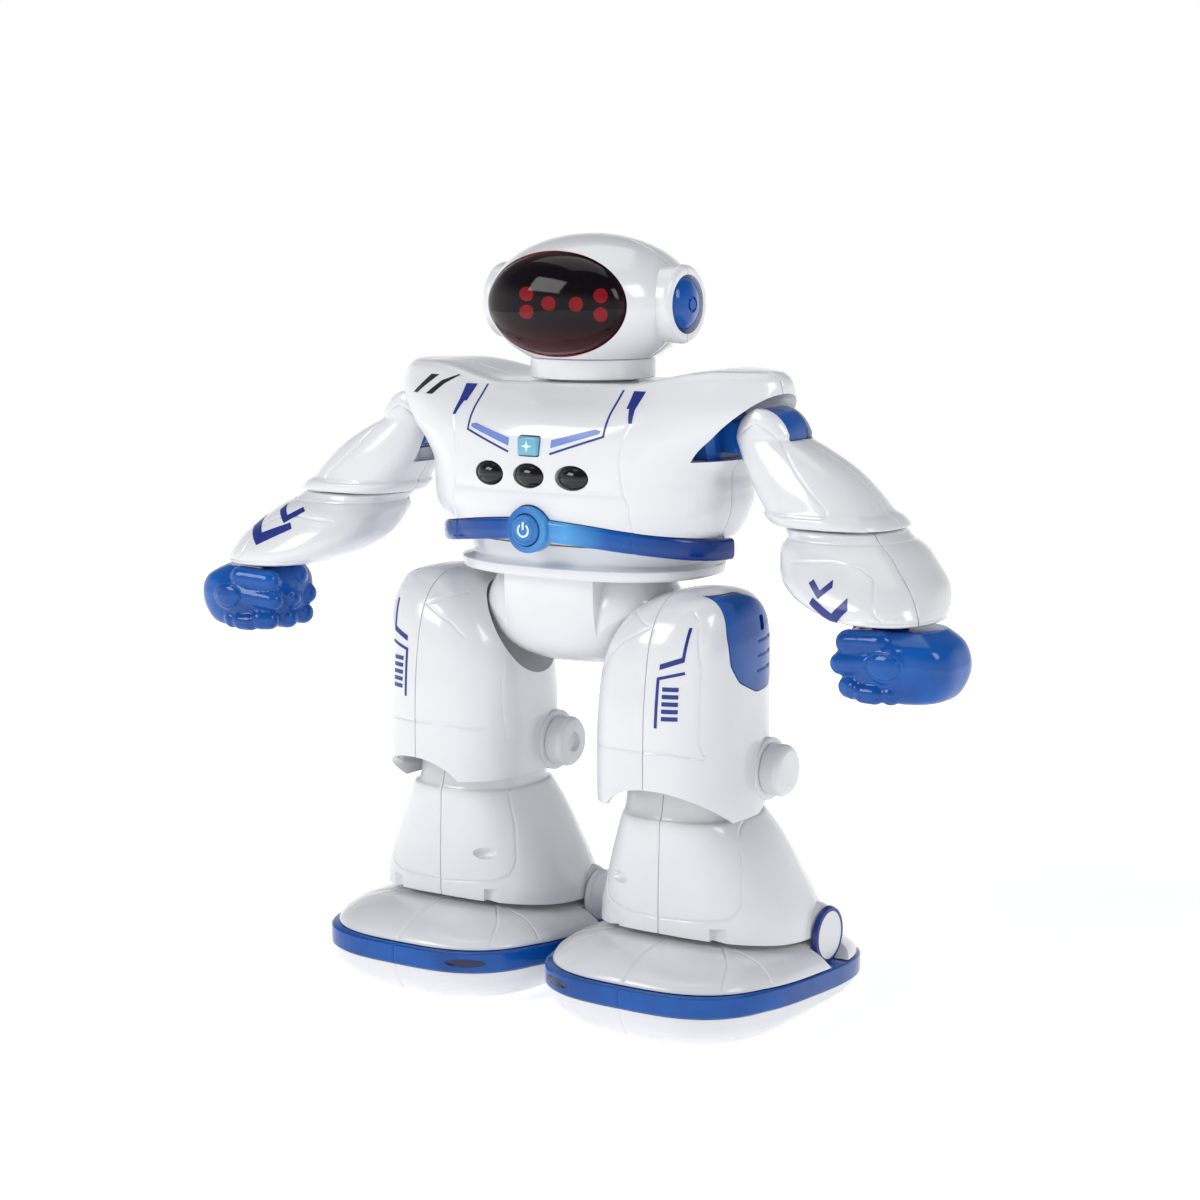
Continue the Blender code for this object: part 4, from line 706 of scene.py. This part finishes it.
teal = moulded("badge_teal", (0.13, 0.38, 0.55), (0.16, 0.44, 0.60), 0.2, 0.4)
badge = block((-0.0039, -0.0397, badge_z - 0.0031), (0.0039, -0.0335, badge_z + 0.0031), 0.0007)
tree = BVHTree.FromBMesh(badge)
piece(badge, "badge_button", "badge_button", teal)
star = [[on_ring(0.0022, a, badge_z, 0.0020 / 0.0022), on_ring(0.0007, a + 0.79, badge_z), (0, badge_z),
         on_ring(0.0007, a - 0.79, badge_z)] for a in (0, math.pi / 2, math.pi, 3 * math.pi / 2)]
frost = moulded("printed_frost", (0.62, 0.80, 0.90), (0.70, 0.86, 0.94), 0.35, 0.1)
piece(film(tree, star, cell=0.0004), "badge_star", "badge_button", frost, ())
door = block((-0.0210, 0.0292, 0.1720), (0.0210, 0.0360, 0.2000), 0.0008)
grips = [block((-0.0070, 0.0352, z - 0.0006), (0.0070, 0.0380, z + 0.0006), 0.0003) for z in
         (0.1745, 0.1770, 0.1795)]
grips.append(round_bar(0.0024, 0.0345, 0.04, (0, 0, 0.1960), "Y", steps=32))
piece(carve(door, grips), "battery_door", "torso", white)


# ---------------------------------------------------------------- belt and power button
# A see-through blue bar lies in a groove round the front of the waist, arched up in the middle,
# where a round rim carries the sprung power button.
rim_y = -0.0391
belt_bar = carve(sweep(belt_path, (0.0023, 0.0036, 4.0)),
                 [round_bar(0.0078, rim_y - 0.0012, rim_y + 0.0046, (0, 0, belt_z), "Y", 0.0006)], "UNION")
belt_bar = carve(belt_bar, [round_bar(0.0056, rim_y - 0.01, rim_y + 0.0038, (0, 0, belt_z), "Y")])
belt_blue = moulded("belt_blue", (0.001, 0.030, 0.210), (0.004, 0.060, 0.340), 0.12, 0.10, 0.01, 90.0, 0.32)
place = Wire(belt_blue.node_tree).node("ShaderNodeTexCoord", out="Object")
# Painted light: the belt is brighter just to the robot's left of the button, a painted highlight, and darker
# towards both ends, painted shade.
belt_painted_sheen = place.node("ShaderNodeSeparateXYZ", sockets={0: place}, out="X")
belt_painted_sheen.node("ShaderNodeValToRGB", sockets={0: belt_painted_sheen * 10.0 + 0.5},
              stops=((0.0, (0.002, 0.040, 0.240)), (0.38, (0.003, 0.070, 0.330)),
                     (0.50, (0.040, 0.210, 0.560)), (0.64, (0.080, 0.340, 0.700)),
                     (0.78, (0.004, 0.090, 0.380)), (1.0, (0.001, 0.030, 0.200)))
              ).feed(belt_blue.node_tree.nodes["Principled BSDF"], "Base Color")
belt_bar = groove(belt_bar, [line(BVHTree.FromBMesh(belt_bar), [(x, 0.154), (x, 0.168)]) for x in
                             (-0.0354, 0.0354)])
piece(belt_bar, "belt", "torso", belt_blue)
push = turned(filleted([(0, rim_y + 0.0020), (0.0052, rim_y + 0.0020), (0.0052, rim_y - 0.0020),
                        (0.0044, rim_y - 0.0026), (0.0040, rim_y - 0.0022), (0.0036, rim_y - 0.0026),
                        (0, rim_y - 0.0029)], 0.0003), (0, 0, belt_z), "Y")
ring = [math.radians(125 + 290 * step / 18) for step in range(19)]
sign = [[on_ring(0.0017, a, belt_z), on_ring(0.0024, a, belt_z), on_ring(0.0024, b, belt_z),
         on_ring(0.0017, b, belt_z)] for a, b in zip(ring, ring[1:])]
sign.append([(-0.0004, belt_z + 0.0002), (0.0004, belt_z + 0.0002), (0.0004, belt_z + 0.0028),
             (-0.0004, belt_z + 0.0028)])
piece(film(BVHTree.FromBMesh(push), sign, cell=0.0004), "power_sign", "power_button", frost,
      ())
sky = moulded("button_blue", (0.020, 0.140, 0.460), (0.060, 0.260, 0.600), 0.16, 0.10, 0.01, 200.0, 0.32)
piece(push, "power_button", "power_button", sky)


# ---------------------------------------------------------------- waist and pelvis
# A white flange ring with a short spigot joins the chest to the bowl of the pelvis, which sits
# between the two round hip sockets.
waist_rows = [(height, 0, 0, wide, deep, 2.4) for height, wide, deep in
              ((0.1470, 0.0461, 0.0328), (0.1472, 0.0468, 0.0332), (0.1480, 0.04725, 0.0335),
               (0.1498, 0.04725, 0.0335), (0.1505, 0.0468, 0.0332), (0.1510, 0.0445, 0.0310),
               (0.1520, 0.0430, 0.0296), (0.1545, 0.0445, 0.0296), (0.1576, 0.0460, 0.0296))]
waist = carve(skin(waist_rows, 140, 64), [sweep(belt_path, (0.0027, 0.0040, 5.0))])
piece(waist, "waist_ring", "torso", white)

pelvis_rows = [(height, 0, -0.001, wide, deep, power) for height, wide, deep, power in
               ((0.1155, 0.0040, 0.0030, 2.0), (0.1157, 0.0120, 0.0095, 2.0), (0.1167, 0.0204, 0.0157, 2.1),
                (0.1205, 0.0289, 0.0224, 2.2), (0.1265, 0.0344, 0.0263, 2.3), (0.1345, 0.0370, 0.0280, 2.4),
                (0.1466, 0.0374, 0.0286, 2.4))]


def hip_profile(grow):
    """Side view of the round hip joint, as (radius, along X)."""
    made = []
    for step in range(15):
        turn = math.radians(90) * step / 14
        made.append(((0.0220 + grow) * math.sin(turn), 0.0188 + grow + 0.0192 * math.cos(turn)))
    return made


hip = (0, -0.004, 0.131)
near = hip_profile(-0.0008)
between = near + [(0.06, 0.0180), (0.06, -0.0180)] + [(radius, -along) for radius, along in reversed(near)]
bowl = carve(skin(pelvis_rows, 140, 80), [turned(between, hip, "X", 96)], "INTERSECT")
piece(bowl, "pelvis_shell", "torso", white)


# ---------------------------------------------------------------- shoulders and upper arms
# A blue drum turns in the chest on a hub and ends in a tongue. The white upper arm, moulded in a
# front and a back half, hinges on that tongue and widens down to a raised collar at the elbow.
elbow = Vector((0.0980, -0.0025, 0.1685))
wrist = Vector((0.1245, -0.0195, 0.1420))


def arm_row(fraction, grow=0.0, out=0.0, power=2.6):
    width = 0.0102 + 0.0118 * fraction ** 0.8 + grow + out
    depth = 0.0120 + 0.0080 * fraction + grow
    return (0.1950 - 0.0265 * fraction, 0.0715 + 0.0265 * fraction + out, -0.0025, width, depth, power)


arm_rows = [arm_row(*row) for row in
            ((1.0, -0.0012), (0.985, -0.0003), (0.94, 0.0004), (0.88, 0.0006), (0.84, 0.0000),
             (0.80, -0.0002, 0.0002), (0.62, 0.0002, 0.0012), (0.45, 0.0003, 0.0020),
             (0.30, 0.0002, 0.0023), (0.12, 0, 0.0018))]
for step in range(9):
    turn = math.radians(89) * step / 8
    out = 0.0012 * (1 - step / 8)
    arm_rows.append((0.1950 + 0.0102 * math.sin(turn), 0.0715 + out, -0.0025,
                     0.0102 * math.cos(turn) + 0.0001 + out,
                     0.0120 * (1 - 0.22 * (step / 8) ** 2), 2.6))


drum = turned(filleted([(0, 0.0565), (0.0110, 0.0565), (0.0138, 0.0547), (0.0138, 0.0489), (0.0060, 0.0489),
                        (0.0060, 0.0463), (0.0088, 0.0463), (0.0088, 0.0438), (0, 0.0438)], 0.0005),
              (0, shoulder.y, shoulder.z), "X")
tongue = round_bar(0.0100, shoulder.y - 0.0070, shoulder.y + 0.0070, (shoulder.x, 0, shoulder.z), "Y", 0.0006)
web = block((0.0525, shoulder.y - 0.0065, shoulder.z - 0.005),
            (shoulder.x, shoulder.y + 0.0065, shoulder.z + 0.005), 0.0008)
pair(carve(drum, [tongue, web], "UNION"), "shoulder_rotor", "shoulder", blue, "blue_plastic")

panel = [(0.0668, 0.1975), (0.0715, 0.2008), (0.0765, 0.1988), (0.0825, 0.1932), (0.0895, 0.1850),
         (0.0960, 0.1790), (0.1015, 0.1745), (0.1012, 0.1722), (0.0860, 0.1722)]
slots = [round_bar(0.0107, shoulder.y - 0.0075, shoulder.y + 0.0075, (shoulder.x, 0, shoulder.z), "Y",
                   0.0001),
         block((0.0415, shoulder.y - 0.0075, 0.1950), (0.0875, shoulder.y + 0.0075, 0.2250)),
         block((0.0560, shoulder.y - 0.0075, 0.1800), (0.0720, shoulder.y + 0.0075, 0.1960))]
whole_arm = carve(skin(arm_rows, 110, 90), slots)
for face, toward in (("front", 1), ("back", -1)):
    arm = half(whole_arm.copy(), (0, shoulder.y - toward * seam_gap, 0), (0, toward, 0))
    tree = BVHTree.FromBMesh(arm)
    groove(arm, [line(tree, panel, face)])
    pair(arm, f"upper_arm_{face}", "upper_arm", white)


# ---------------------------------------------------------------- forearms
# Each forearm is a pear-shaped white shell in two halves. A neck at its top turns in the elbow,
# and the blue hand turns in its narrow end.
def fore_row(fraction, width, depth, shift=0.0, power=2.5):
    bend = max(fraction, 0) ** 1.15
    return (0.1677 - 0.0257 * fraction, elbow.x + 0.0265 * fraction + shift, elbow.y - 0.0170 * bend,
            width / 2, depth / 2, power)


fore_rows = [fore_row(*row) for row in
             ((1.0, 0.0300, 0.0335, -0.0008), (0.985, 0.0335, 0.0362, -0.0010),
              (0.95, 0.0378, 0.0382, -0.0014), (0.80, 0.0470, 0.0434, -0.0026),
              (0.60, 0.0520, 0.0452, -0.0022), (0.40, 0.0495, 0.0445, -0.0010),
              (0.22, 0.0450, 0.0428, 0.0004), (0.10, 0.0390, 0.0372, 0.0012),
              (0.02, 0.0375, 0.0362, 0.0014), (0.0, 0.0360, 0.0346, 0.0014))]
fore_turn = math.atan2(wrist.y - elbow.y, wrist.x - elbow.x)
across = Vector((-math.sin(fore_turn), math.cos(fore_turn), 0))
panel = [(0.0930, 0.1588), (0.1080, 0.1602), (0.1170, 0.1592), (0.1235, 0.1562), (0.1262, 0.1500),
         (0.1272, 0.1460), (0.1310, 0.1435)]
chevron = {"left": (0.1100, 0.1484, 1.0), "right": (0.1160, 0.1566, 1.5)}
whole_arm = skin(fore_rows, 120, 90)
whole_tree = BVHTree.FromBMesh(whole_arm)
for face, toward in (("front", 1), ("back", -1)):
    arm = half(whole_arm.copy(), elbow - across * toward * seam_gap, across * toward)
    tree = BVHTree.FromBMesh(arm)
    neck_line = girdle(tree, (0.1010, -0.0045, 0.1648))
    wrist_line = girdle(tree, (0.1232, -0.0185, 0.1437))
    groove(arm, [neck_line, wrist_line, line(tree, panel, face)])
    pair(arm, f"forearm_{face}", "forearm", white)
    if face == "front":
        for label, side in SIDES:
            u, v, wide = chevron[label]
            marks = [[(u + wide * across_by, v + up_by) for across_by, up_by in mark] for mark in
                     (((-0.0072, 0.0052), (-0.0024, 0.0008), (-0.0024, 0.0034), (-0.0058, 0.0064)),
                      ((-0.0024, 0.0008), (0.0016, 0.0046), (0.0010, 0.0068), (-0.0024, 0.0034)),
                      ((-0.0056, -0.0008), (0.0032, -0.0072), (0.0032, -0.0030), (-0.0044, 0.0012)),
                      ((0.0032, -0.0072), (0.0088, -0.0016), (0.0078, 0.0020), (0.0032, -0.0030)))]
            piece(mirrored(film(whole_tree, marks), side), f"chevrons_{label}", f"forearm_{label}", navy,
                  ())


# ---------------------------------------------------------------- hands
# A closed fist moulded in see-through blue: a rounded palm, four curled fingers, and a thumb
# folded across the front.
def capsule(start, end, radius, around=20):
    """A round-ended bar between two points."""
    start, end = Vector(start), Vector(end)
    length = (end - start).length
    profile = [(radius * math.cos(math.radians(a)), length / 2 + radius * math.sin(math.radians(a)))
               for a in range(90, -1, -15)]
    profile += [(r, -z) for r, z in reversed(profile)]
    profile[0], profile[-1] = (0, profile[0][1]), (0, profile[-1][1])
    bm = turned(profile, (0, 0, 0), "Z", around)
    lean = (end - start).to_track_quat("Z", "Y").to_matrix().to_4x4()
    bmesh.ops.transform(bm, matrix=Matrix.Translation((start + end) / 2) @ lean, verts=bm.verts)
    return bm


def melted(shapes, voxel=0.0006, rounds=3):
    """Run overlapping solids into one moulding with soft inner corners."""
    rough = holder(joined(shapes), "rough")
    skinned = rough.modifiers.new("one_skin", "REMESH")
    skinned.mode, skinned.voxel_size = "VOXEL", voxel
    soften = rough.modifiers.new("soften", "SMOOTH")
    soften.factor, soften.iterations = 0.5, rounds
    result = outcome(rough)
    bpy.data.objects.remove(rough, do_unlink=True)
    return result


top = wrist.z - 0.0014
mx, my = wrist.x + 0.0090, wrist.y - 0.0020
palm = skin([(top - 0.0226, mx - 0.001, my - 0.001, 0.0090, 0.0085, 2.4),
             (top - 0.0205, mx - 0.001, my - 0.001, 0.0150, 0.0132, 2.8),
             (top - 0.0125, mx - 0.0012, my - 0.001, 0.0188, 0.0158, 3.0),
             (top - 0.0045, mx - 0.0024, my - 0.001, 0.0182, 0.0152, 3.0),
             (top, mx - 0.004, my + 0.001, 0.0135, 0.0125, 2.4)], 60, 30)
shapes = [palm, round_bar(0.0058, top - 0.006, top + 0.0062, (wrist.x, wrist.y, 0), "Z", 0.0006),
          capsule((0.1152, -0.0338, 0.1296), (0.1300, -0.0362, 0.1312), 0.0038),
          ball((0.1322, -0.0376, 0.1306), (0.0070, 0.0030, 0.0052), 24, 16),
          capsule((0.1172, -0.0332, 0.1363), (0.1290, -0.0345, 0.1371), 0.0042),
          capsule((0.1178, -0.0330, 0.1224), (0.1204, -0.0345, 0.1224), 0.0038),
          capsule((0.1240, -0.0358, 0.1214), (0.1282, -0.0362, 0.1214), 0.0033),
          ball((0.1330, -0.0350, 0.1216), (0.0034, 0.0034, 0.0034), 24, 16)]
for y, z, reach in ((-0.0245, 0.1298, 0.1150), (-0.0245, 0.1222, 0.1165), (-0.0155, 0.1300, 0.1152),
                    (-0.0155, 0.1226, 0.1168), (-0.0200, 0.1374, 0.1155)):
    shapes.append(capsule((reach, y, z), (0.1290, y, z), 0.0040))
hand = melted(shapes)
thumb_ring = [Vector((0.1322 + 0.0060 * math.cos(a), 0, 0.1306 + 0.0044 * math.sin(a)))
              for a in (2 * math.pi * i / 60 for i in range(61))]
tree = BVHTree.FromBMesh(hand)
groove(hand, [line(tree, [(place.x, place.z) for place in thumb_ring], "front", 0.0001)], 0.0005, 0.0005)
pair(hand, "hand", "hand", blue, "blue_plastic")


# ---------------------------------------------------------------- thighs
# Each thigh is a tall white shell with a domed top, moulded in an inner and an outer half round
# the hip axle, open below for the shin. A blue leaf-shaped panel is let into its outer side.
thigh_low, thigh_span = 0.0690, 0.0765


def thigh_row(height, shift, width, depth, grow=0.0, power=2.5):
    return (thigh_low + height * thigh_span, 0.0432 + shift, -0.0100, width * 0.0255 + grow,
            depth * 0.0310 + grow, power)


def thigh_rows(grow=0.0, low=0.0):
    made = [thigh_row(*row, grow) for row in
            ((low, 0, 0.97, 0.93), (0.03, 0, 0.985, 0.955), (0.10, 0, 1.0, 0.99), (0.30, 0, 1.0, 1.0),
             (0.50, 0.0002, 0.99, 0.985), (0.66, 0.001, 0.97, 0.94), (0.79, 0.003, 0.90, 0.87),
             (0.89, 0.0055, 0.76, 0.75), (0.955, 0.008, 0.55, 0.58), (0.985, 0.009, 0.34, 0.40))]
    return made + [thigh_row(0.998, 0.0095, 0.12, 0.16)]


leaf_shape = [(-0.0215, 0.1440), (-0.0080, 0.1440), (0.0020, 0.1400), (0.0070, 0.1340), (0.0082, 0.1250),
              (0.0078, 0.1160), (0.0040, 0.1118), (-0.0060, 0.1114), (-0.0170, 0.1160), (-0.0215, 0.1220),
              (-0.0230, 0.1320)]


def leaf_block(grow, inner):
    """A plug in the outline of the leaf-shaped side panel."""
    bm = bmesh.new()
    middle = Vector((-0.0070, 0.1280))
    outline = []
    for y, z in filleted(leaf_shape + leaf_shape[:1], 0.0020)[:-1]:
        out = Vector((y, z)) - middle
        outline.append(bm.verts.new((inner, *(Vector((y, z)) + out.normalized() * grow))))
    face = bm.faces.new(outline)
    raised = bmesh.ops.extrude_face_region(bm, geom=[face])["geom"]
    bmesh.ops.translate(bm, verts=[item for item in raised if isinstance(item, bmesh.types.BMVert)],
                        vec=(0.03, 0, 0))
    bmesh.ops.recalc_face_normals(bm, faces=bm.faces)
    return bm


split_x = 0.0464
inside = thigh_rows(-0.0018, -0.05)[:5]
socket = hip_profile(0.0) + [(0.0220, 0), (0, 0)]
rim = skin([(-0.08, 0.0480, thigh_low - 0.0005, 0.0195, 0.0132, 2.1),
            (0.08, 0.0480, thigh_low - 0.0005, 0.0195, 0.0132, 2.1)], 72, 2, axis="Y")
whole_thigh = carve(skin(thigh_rows(), 130, 100),
                    [skin(inside, 60, 40), turned(socket, hip, "X", 96), rim,
                     leaf_block(0.0003, 0.0560), block((0, -0.06, 0.05), (0.0350, 0.04, 0.0745), 0.0030)])
knee = (0, 0.0040, 0.0835)
bosses = [round_bar(0.0106, low_x, high_x, knee, "X", 0.0005) for low_x, high_x in ((0.0655, 0.0690),
                                                                                  (0.0174, 0.0205))]
whole_thigh = carve(whole_thigh, bosses, "UNION")
for face, toward in (("inner", 1), ("outer", -1)):
    shell = half(whole_thigh.copy(), (split_x - toward * seam_gap, 0, 0), (toward, 0, 0))
    tree = BVHTree.FromBMesh(shell)
    if face == "outer":
        groove(shell, [line(tree, [(0.0585, 0.1400), (0.0612, 0.1370), (0.0630, 0.1230), (0.0630, 0.0975),
                                   (0.0642, 0.0935)]),
                       line(tree, [(split_x, 0.0945), (0.0560, 0.0945), (0.0640, 0.0925)])])
        tree = BVHTree.FromBMesh(shell)
        prints = stroke([(0.0592, 0.1350), (0.0584, 0.1252)], 0.0009)
        prints += [[(0.0588, 0.1262), (0.0588, 0.1244), (0.0512, 0.1216), (0.0512, 0.1234)]]
        prints += stroke([(0.0588, 0.1208), (0.0510, 0.1188), (0.0508, 0.1030)], 0.0010)
        for number in range(5):
            z = 0.1162 - 0.0024 * number
            prints.append([(0.0526, z), (0.0576, z), (0.0576, z - 0.0014), (0.0526, z - 0.0014)])
        pair(film(tree, prints), "thigh_prints", "thigh", navy, "blue_plastic", ())
    else:
        groove(shell, [line(tree, [(0.0345, 0.1385), (0.0455, 0.1346), (0.0350, 0.1290), (0.0300, 0.1245)],
                            soft=0.0004),
                       line(tree, [(-0.0235, 0.1165), (-0.0260, 0.1080), (-0.0260, 0.0985),
                                   (-0.0245, 0.0880)], "inner"),
                       line(tree, [(0.0230, 0.0925), (0.0330, 0.0945), (split_x, 0.0945)])],
               0.0005, 0.00028)
    pair(shell, f"thigh_{face}", "thigh", white)
leaf = carve(skin(thigh_rows(0.0002), 130, 100), [leaf_block(0.0, 0.0575)], "INTERSECT")
tree = BVHTree.FromBMesh(leaf)
groove(leaf, [line(tree, [(-0.0060, z), (0.0040, z + 0.0004)], "outer") for z in (0.1285, 0.1235, 0.1185)],
       0.0005, 0.0005)
leaf = carve(leaf, [block((0.0560, -0.0040, 0.1315), (0.0860, -0.0010, 0.1365), 0.0008)])
pair(leaf, "thigh_panel", "thigh", blue, "blue_plastic")


# ---------------------------------------------------------------- shins and knee pins
# The shins are flared white shells in two halves that hang on the knee pin inside the thigh and
# carry a round hub at each side of the ankle. Round white caps end the knee pin.
def shin_row(z, x, y, width, depth, power=2.5):
    return (z, 0.0450 + x, y, width * 0.0365, depth * 0.0330, power)


shin_rows = [shin_row(*row) for row in
             ((0.0195, 0.0010, 0.0045, 1.01, 1.00), (0.0270, 0.0010, 0.0044, 1.008, 0.998),
              (0.0346, 0.0009, 0.0036, 0.985, 0.985), (0.0467, 0.0004, 0.0012, 0.87, 0.91),
              (0.0588, -0.0002, -0.0014, 0.74, 0.82), (0.0674, -0.0010, -0.0040, 0.625, 0.73),
              (0.0708, -0.0018, -0.0050, 0.56, 0.66), (0.0844, -0.0018, -0.0045, 0.535, 0.57),
              (0.0940, -0.0018, -0.0010, 0.47, 0.30), (0.0950, -0.0018, -0.0010, 0.10, 0.06))]


foot_x, wheel_y, wheel_z = 0.0460, 0.0341, 0.0070


def band_fall(u, v, high):
    """The foot's band and dome slope down from the toe to the heel."""
    return -0.0050 * min(max((v + 0.03025) / 0.0825, 0), 1)


def foot_rows(grow):
    made = []
    for height, width, length, power in ((0.00, 0.985, 0.968, 3.0), (0.10, 0.98, 0.962, 3.0),
                                         (0.28, 0.955, 0.925, 2.9), (0.50, 0.89, 0.84, 2.7),
                                         (0.70, 0.77, 0.72, 2.5), (0.86, 0.58, 0.54, 2.3),
                                         (0.96, 0.33, 0.33, 2.0), (1.00, 0.04, 0.04, 2.0)):
        made.append((0.0190 + height * 0.0110 + grow, foot_x, 0.001, 0.0445 * width + grow,
                     0.0549 * length + grow, power))
    return made


ankle = Vector((foot_x, 0.0170, 0.0255))
outline = [(0.0240, 0.0690), (0.0205, 0.0560), (0.0188, 0.0440), (0.0200, 0.0395), (0.0250, 0.0372),
           (0.0430, 0.0360), (0.0620, 0.0366), (0.0700, 0.0380), (0.0722, 0.0425), (0.0700, 0.0560),
           (0.0660, 0.0690)]
hub = turned(filleted([(0, 0.0826), (0.0088, 0.0826), (0.0104, 0.0810), (0.0112, 0.0770), (0.0112, 0.0150),
                       (0.0104, 0.0110), (0.0088, 0.0094), (0, 0.0094)], 0.0012), (0, ankle.y, ankle.z), "X")
clear = foot_rows(0.0020)
clear.insert(0, (-0.02, *clear[0][1:]))
marks = [ball((0.0262, -0.0268, 0.0470), (0.0060, 0.0030, 0.0022), 40, 24)]
marks += [block((x - 0.0028, -0.06, 0.0280), (x + 0.0028, -0.0243, 0.0345), 0.0005) for x in (0.0253, 0.0663)]
whole_shin = carve(carve(skin(shin_rows, 130, 100), [hub], "UNION"), [skin(clear, 90, 50, band_fall), *marks])
for face, toward in (("inner", 1), ("outer", -1)):
    shell = half(whole_shin.copy(), (0.0450 - toward * seam_gap, 0, 0), (toward, 0, 0))
    tree = BVHTree.FromBMesh(shell)
    flat = [place for place in outline if (place[0] < 0.0450) == (face == "inner")]
    flat = flat + [(0.0450, 0.0360)] if face == "inner" else [(0.0450, 0.0360)] + flat
    groove(shell, [line(tree, flat, soft=0.0030)])
    pair(shell, f"shin_{face}", "shin", white)
cap = filleted([(0, 0.0761), (0.0066, 0.0761), (0.0078, 0.0755), (0.0088, 0.0742), (0.0088, 0.0691),
                (0.0030, 0.0691), (0.0030, 0.0173), (0.0088, 0.0173), (0.0088, 0.0122), (0.0078, 0.0109),
                (0.0034, 0.0103), (0.0030, 0.0120), (0, 0.0120)], 0.0005)
pair(turned(cap, knee, "X"), "knee_pin", "shin", white)


# ---------------------------------------------------------------- feet
# A domed white upper, a see-through blue band and a hollow white sole are stacked and screwed
# together from below. The ankle pin's caps close the hubs, the outer one with a thin navy ring.
cap = filleted([(0, 0.0850), (0.0084, 0.0850), (0.0094, 0.0842), (0.0096, 0.0832), (0.0030, 0.0832),
                (0.0030, 0.0088), (0.0096, 0.0088), (0.0094, 0.0078), (0.0084, 0.0068), (0, 0.0068)], 0.0004)
pair(turned(cap, (0, ankle.y, ankle.z), "X"), "ankle_pin", "foot", white)
hoop = filleted([(0.0082, 0.0848), (0.0082, 0.0853), (0.0094, 0.0850), (0.0099, 0.0838), (0.0099, 0.0834),
                 (0.0095, 0.0834), (0.0082, 0.0848)], 0.0001)
pair(turned(hoop, (0, ankle.y, ankle.z), "X"), "ankle_hoop", "foot", navy, "blue_plastic", ())
rooms = [round_bar(radius, low_x, high_x, (0, ankle.y, ankle.z), "X", 0.0006) for radius, low_x, high_x in
         ((0.0116, -0.02, 0.0096), (0.0116, 0.0824, 0.12), (0.0034, -0.02, 0.12))]
upper = carve(skin(foot_rows(0.0), 150, 60, band_fall), rooms)
tree = BVHTree.FromBMesh(upper)
seams = [[(foot_x, -0.0250), (foot_x, -0.0528)]]
for way in (1, -1):
    seams += [[(foot_x + way * u, y) for u, y in ((0.0205, -0.0225), (0.0285, -0.0330), (0.0335, -0.0455))],
              [(foot_x + way * u, y) for u, y in ((0.0240, -0.0215), (0.0340, -0.0235), (0.0432, -0.0275))]]
groove(upper, [line(tree, path, "above") for path in seams])
pair(upper, "foot_upper", "foot", white)

band_rows = [(height, foot_x, 0, wide, long, 3.2) for height, wide, long in
             ((0.0118, 0.0438, 0.0542), (0.0121, 0.0443, 0.0548), (0.0128, 0.0445, 0.0550),
              (0.0176, 0.0445, 0.0550), (0.0183, 0.0443, 0.0548), (0.0186, 0.0438, 0.0542))]
dimple = ball((0.0190, -0.0545, 0.0152), (0.0068, 0.0026, 0.0019), 40, 24)
band = carve(skin(band_rows, 150, 20, band_fall), [dimple])
tree = BVHTree.FromBMesh(band)
groove(band, [line(tree, [(foot_x, 0.0120), (foot_x, 0.0184)])], 0.0004, 0.0004)
# Painted shade: a dark navy film laid in the band's almond dimple, darkening the recess where shade falls.
deep = moulded("band_mark_navy", (0.001, 0.004, 0.040), (0.002, 0.006, 0.060), 0.2, 0.2)
tree = BVHTree.FromBMesh(band)
almond = [(0.0188 + 0.0062 * math.cos(a), 0.0152 + 0.0014 * math.sin(a)) for a in
          (2 * math.pi * i / 20 for i in range(20))]
pair(film(tree, [almond]), "band_mark", "foot", deep, "blue_plastic", ())
pair(band, "foot_band", "foot", blue, "blue_plastic")


def sole_fall(u, v, high):
    return band_fall(u, v, high) * max(high - 0.0022, 0) / 0.0092


sole_rows = [(height, foot_x, 0, wide, long, 3.2) for height, wide, long in
             ((0.0006, 0.0340, 0.0440), (0.0008, 0.0368, 0.0474), (0.0022, 0.0392, 0.0495),
              (0.0060, 0.0420, 0.0522), (0.0100, 0.0431, 0.0535), (0.0114, 0.0434, 0.0538))]
wells = []
for y in (-wheel_y, wheel_y):
    for x in (0.0290, 0.0630):
        wells.append(block((x - 0.0031, y - 0.0078, -0.01), (x + 0.0031, y + 0.0078, 0.0110), 0.0006))
    wells.append(round_bar(0.0018, 0.0290, 0.0630, (0, y, wheel_z), "X", 0.0001))
sole = carve(skin(sole_rows, 150, 40, sole_fall), wells)
tree = BVHTree.FromBMesh(sole)
groove(sole, [line(tree, [(foot_x, 0.0015), (foot_x, 0.0110)])])
pair(sole, "foot_sole", "foot", white)

rubber = moulded("tyre_rubber", (0.018, 0.018, 0.019), (0.030, 0.030, 0.031), 0.72, 0.0, 0.15)
half_axle = [(0, 0.0193), (0.0030, 0.0193), (0.0034, 0.0187), (0.0058, 0.0187), (0.0064, 0.0193),
             (0.0070, 0.0187), (0.0070, 0.0153), (0.0064, 0.0147), (0.0014, 0.0147)]
whole_axle = half_axle + [(radius, -along) for radius, along in reversed(half_axle)]
for end, y in (("front", -wheel_y), ("rear", wheel_y)):
    pair(turned(whole_axle, (foot_x, y, wheel_z), "X", 48), f"wheels_{end}", f"wheels_{end}", rubber,
         "tyre_rubber")


# ---------------------------------------------------------------- pieces inside the shells
# The circuit board, speaker, battery pack, gear motors and the steel hip axle stay as the frame
# made them; they only get their finish.
grey = moulded("inner_grey", (0.05, 0.055, 0.06), (0.07, 0.075, 0.08), 0.5)
steel = moulded("axle_steel", (0.55, 0.55, 0.57), (0.60, 0.60, 0.62), 0.3)
steel.node_tree.nodes["Principled BSDF"].inputs["Metallic"].default_value = 1.0
for node, finish in (("main_circuit_board", grey), ("battery_pack", grey), ("speaker", lens_black),
                     ("gear_motor_left", grey), ("gear_motor_right", grey), ("hip_axle", steel)):
    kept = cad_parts[node]
    for index in range(len(kept.material_slots)):
        kept.material_slots[index].material = finish
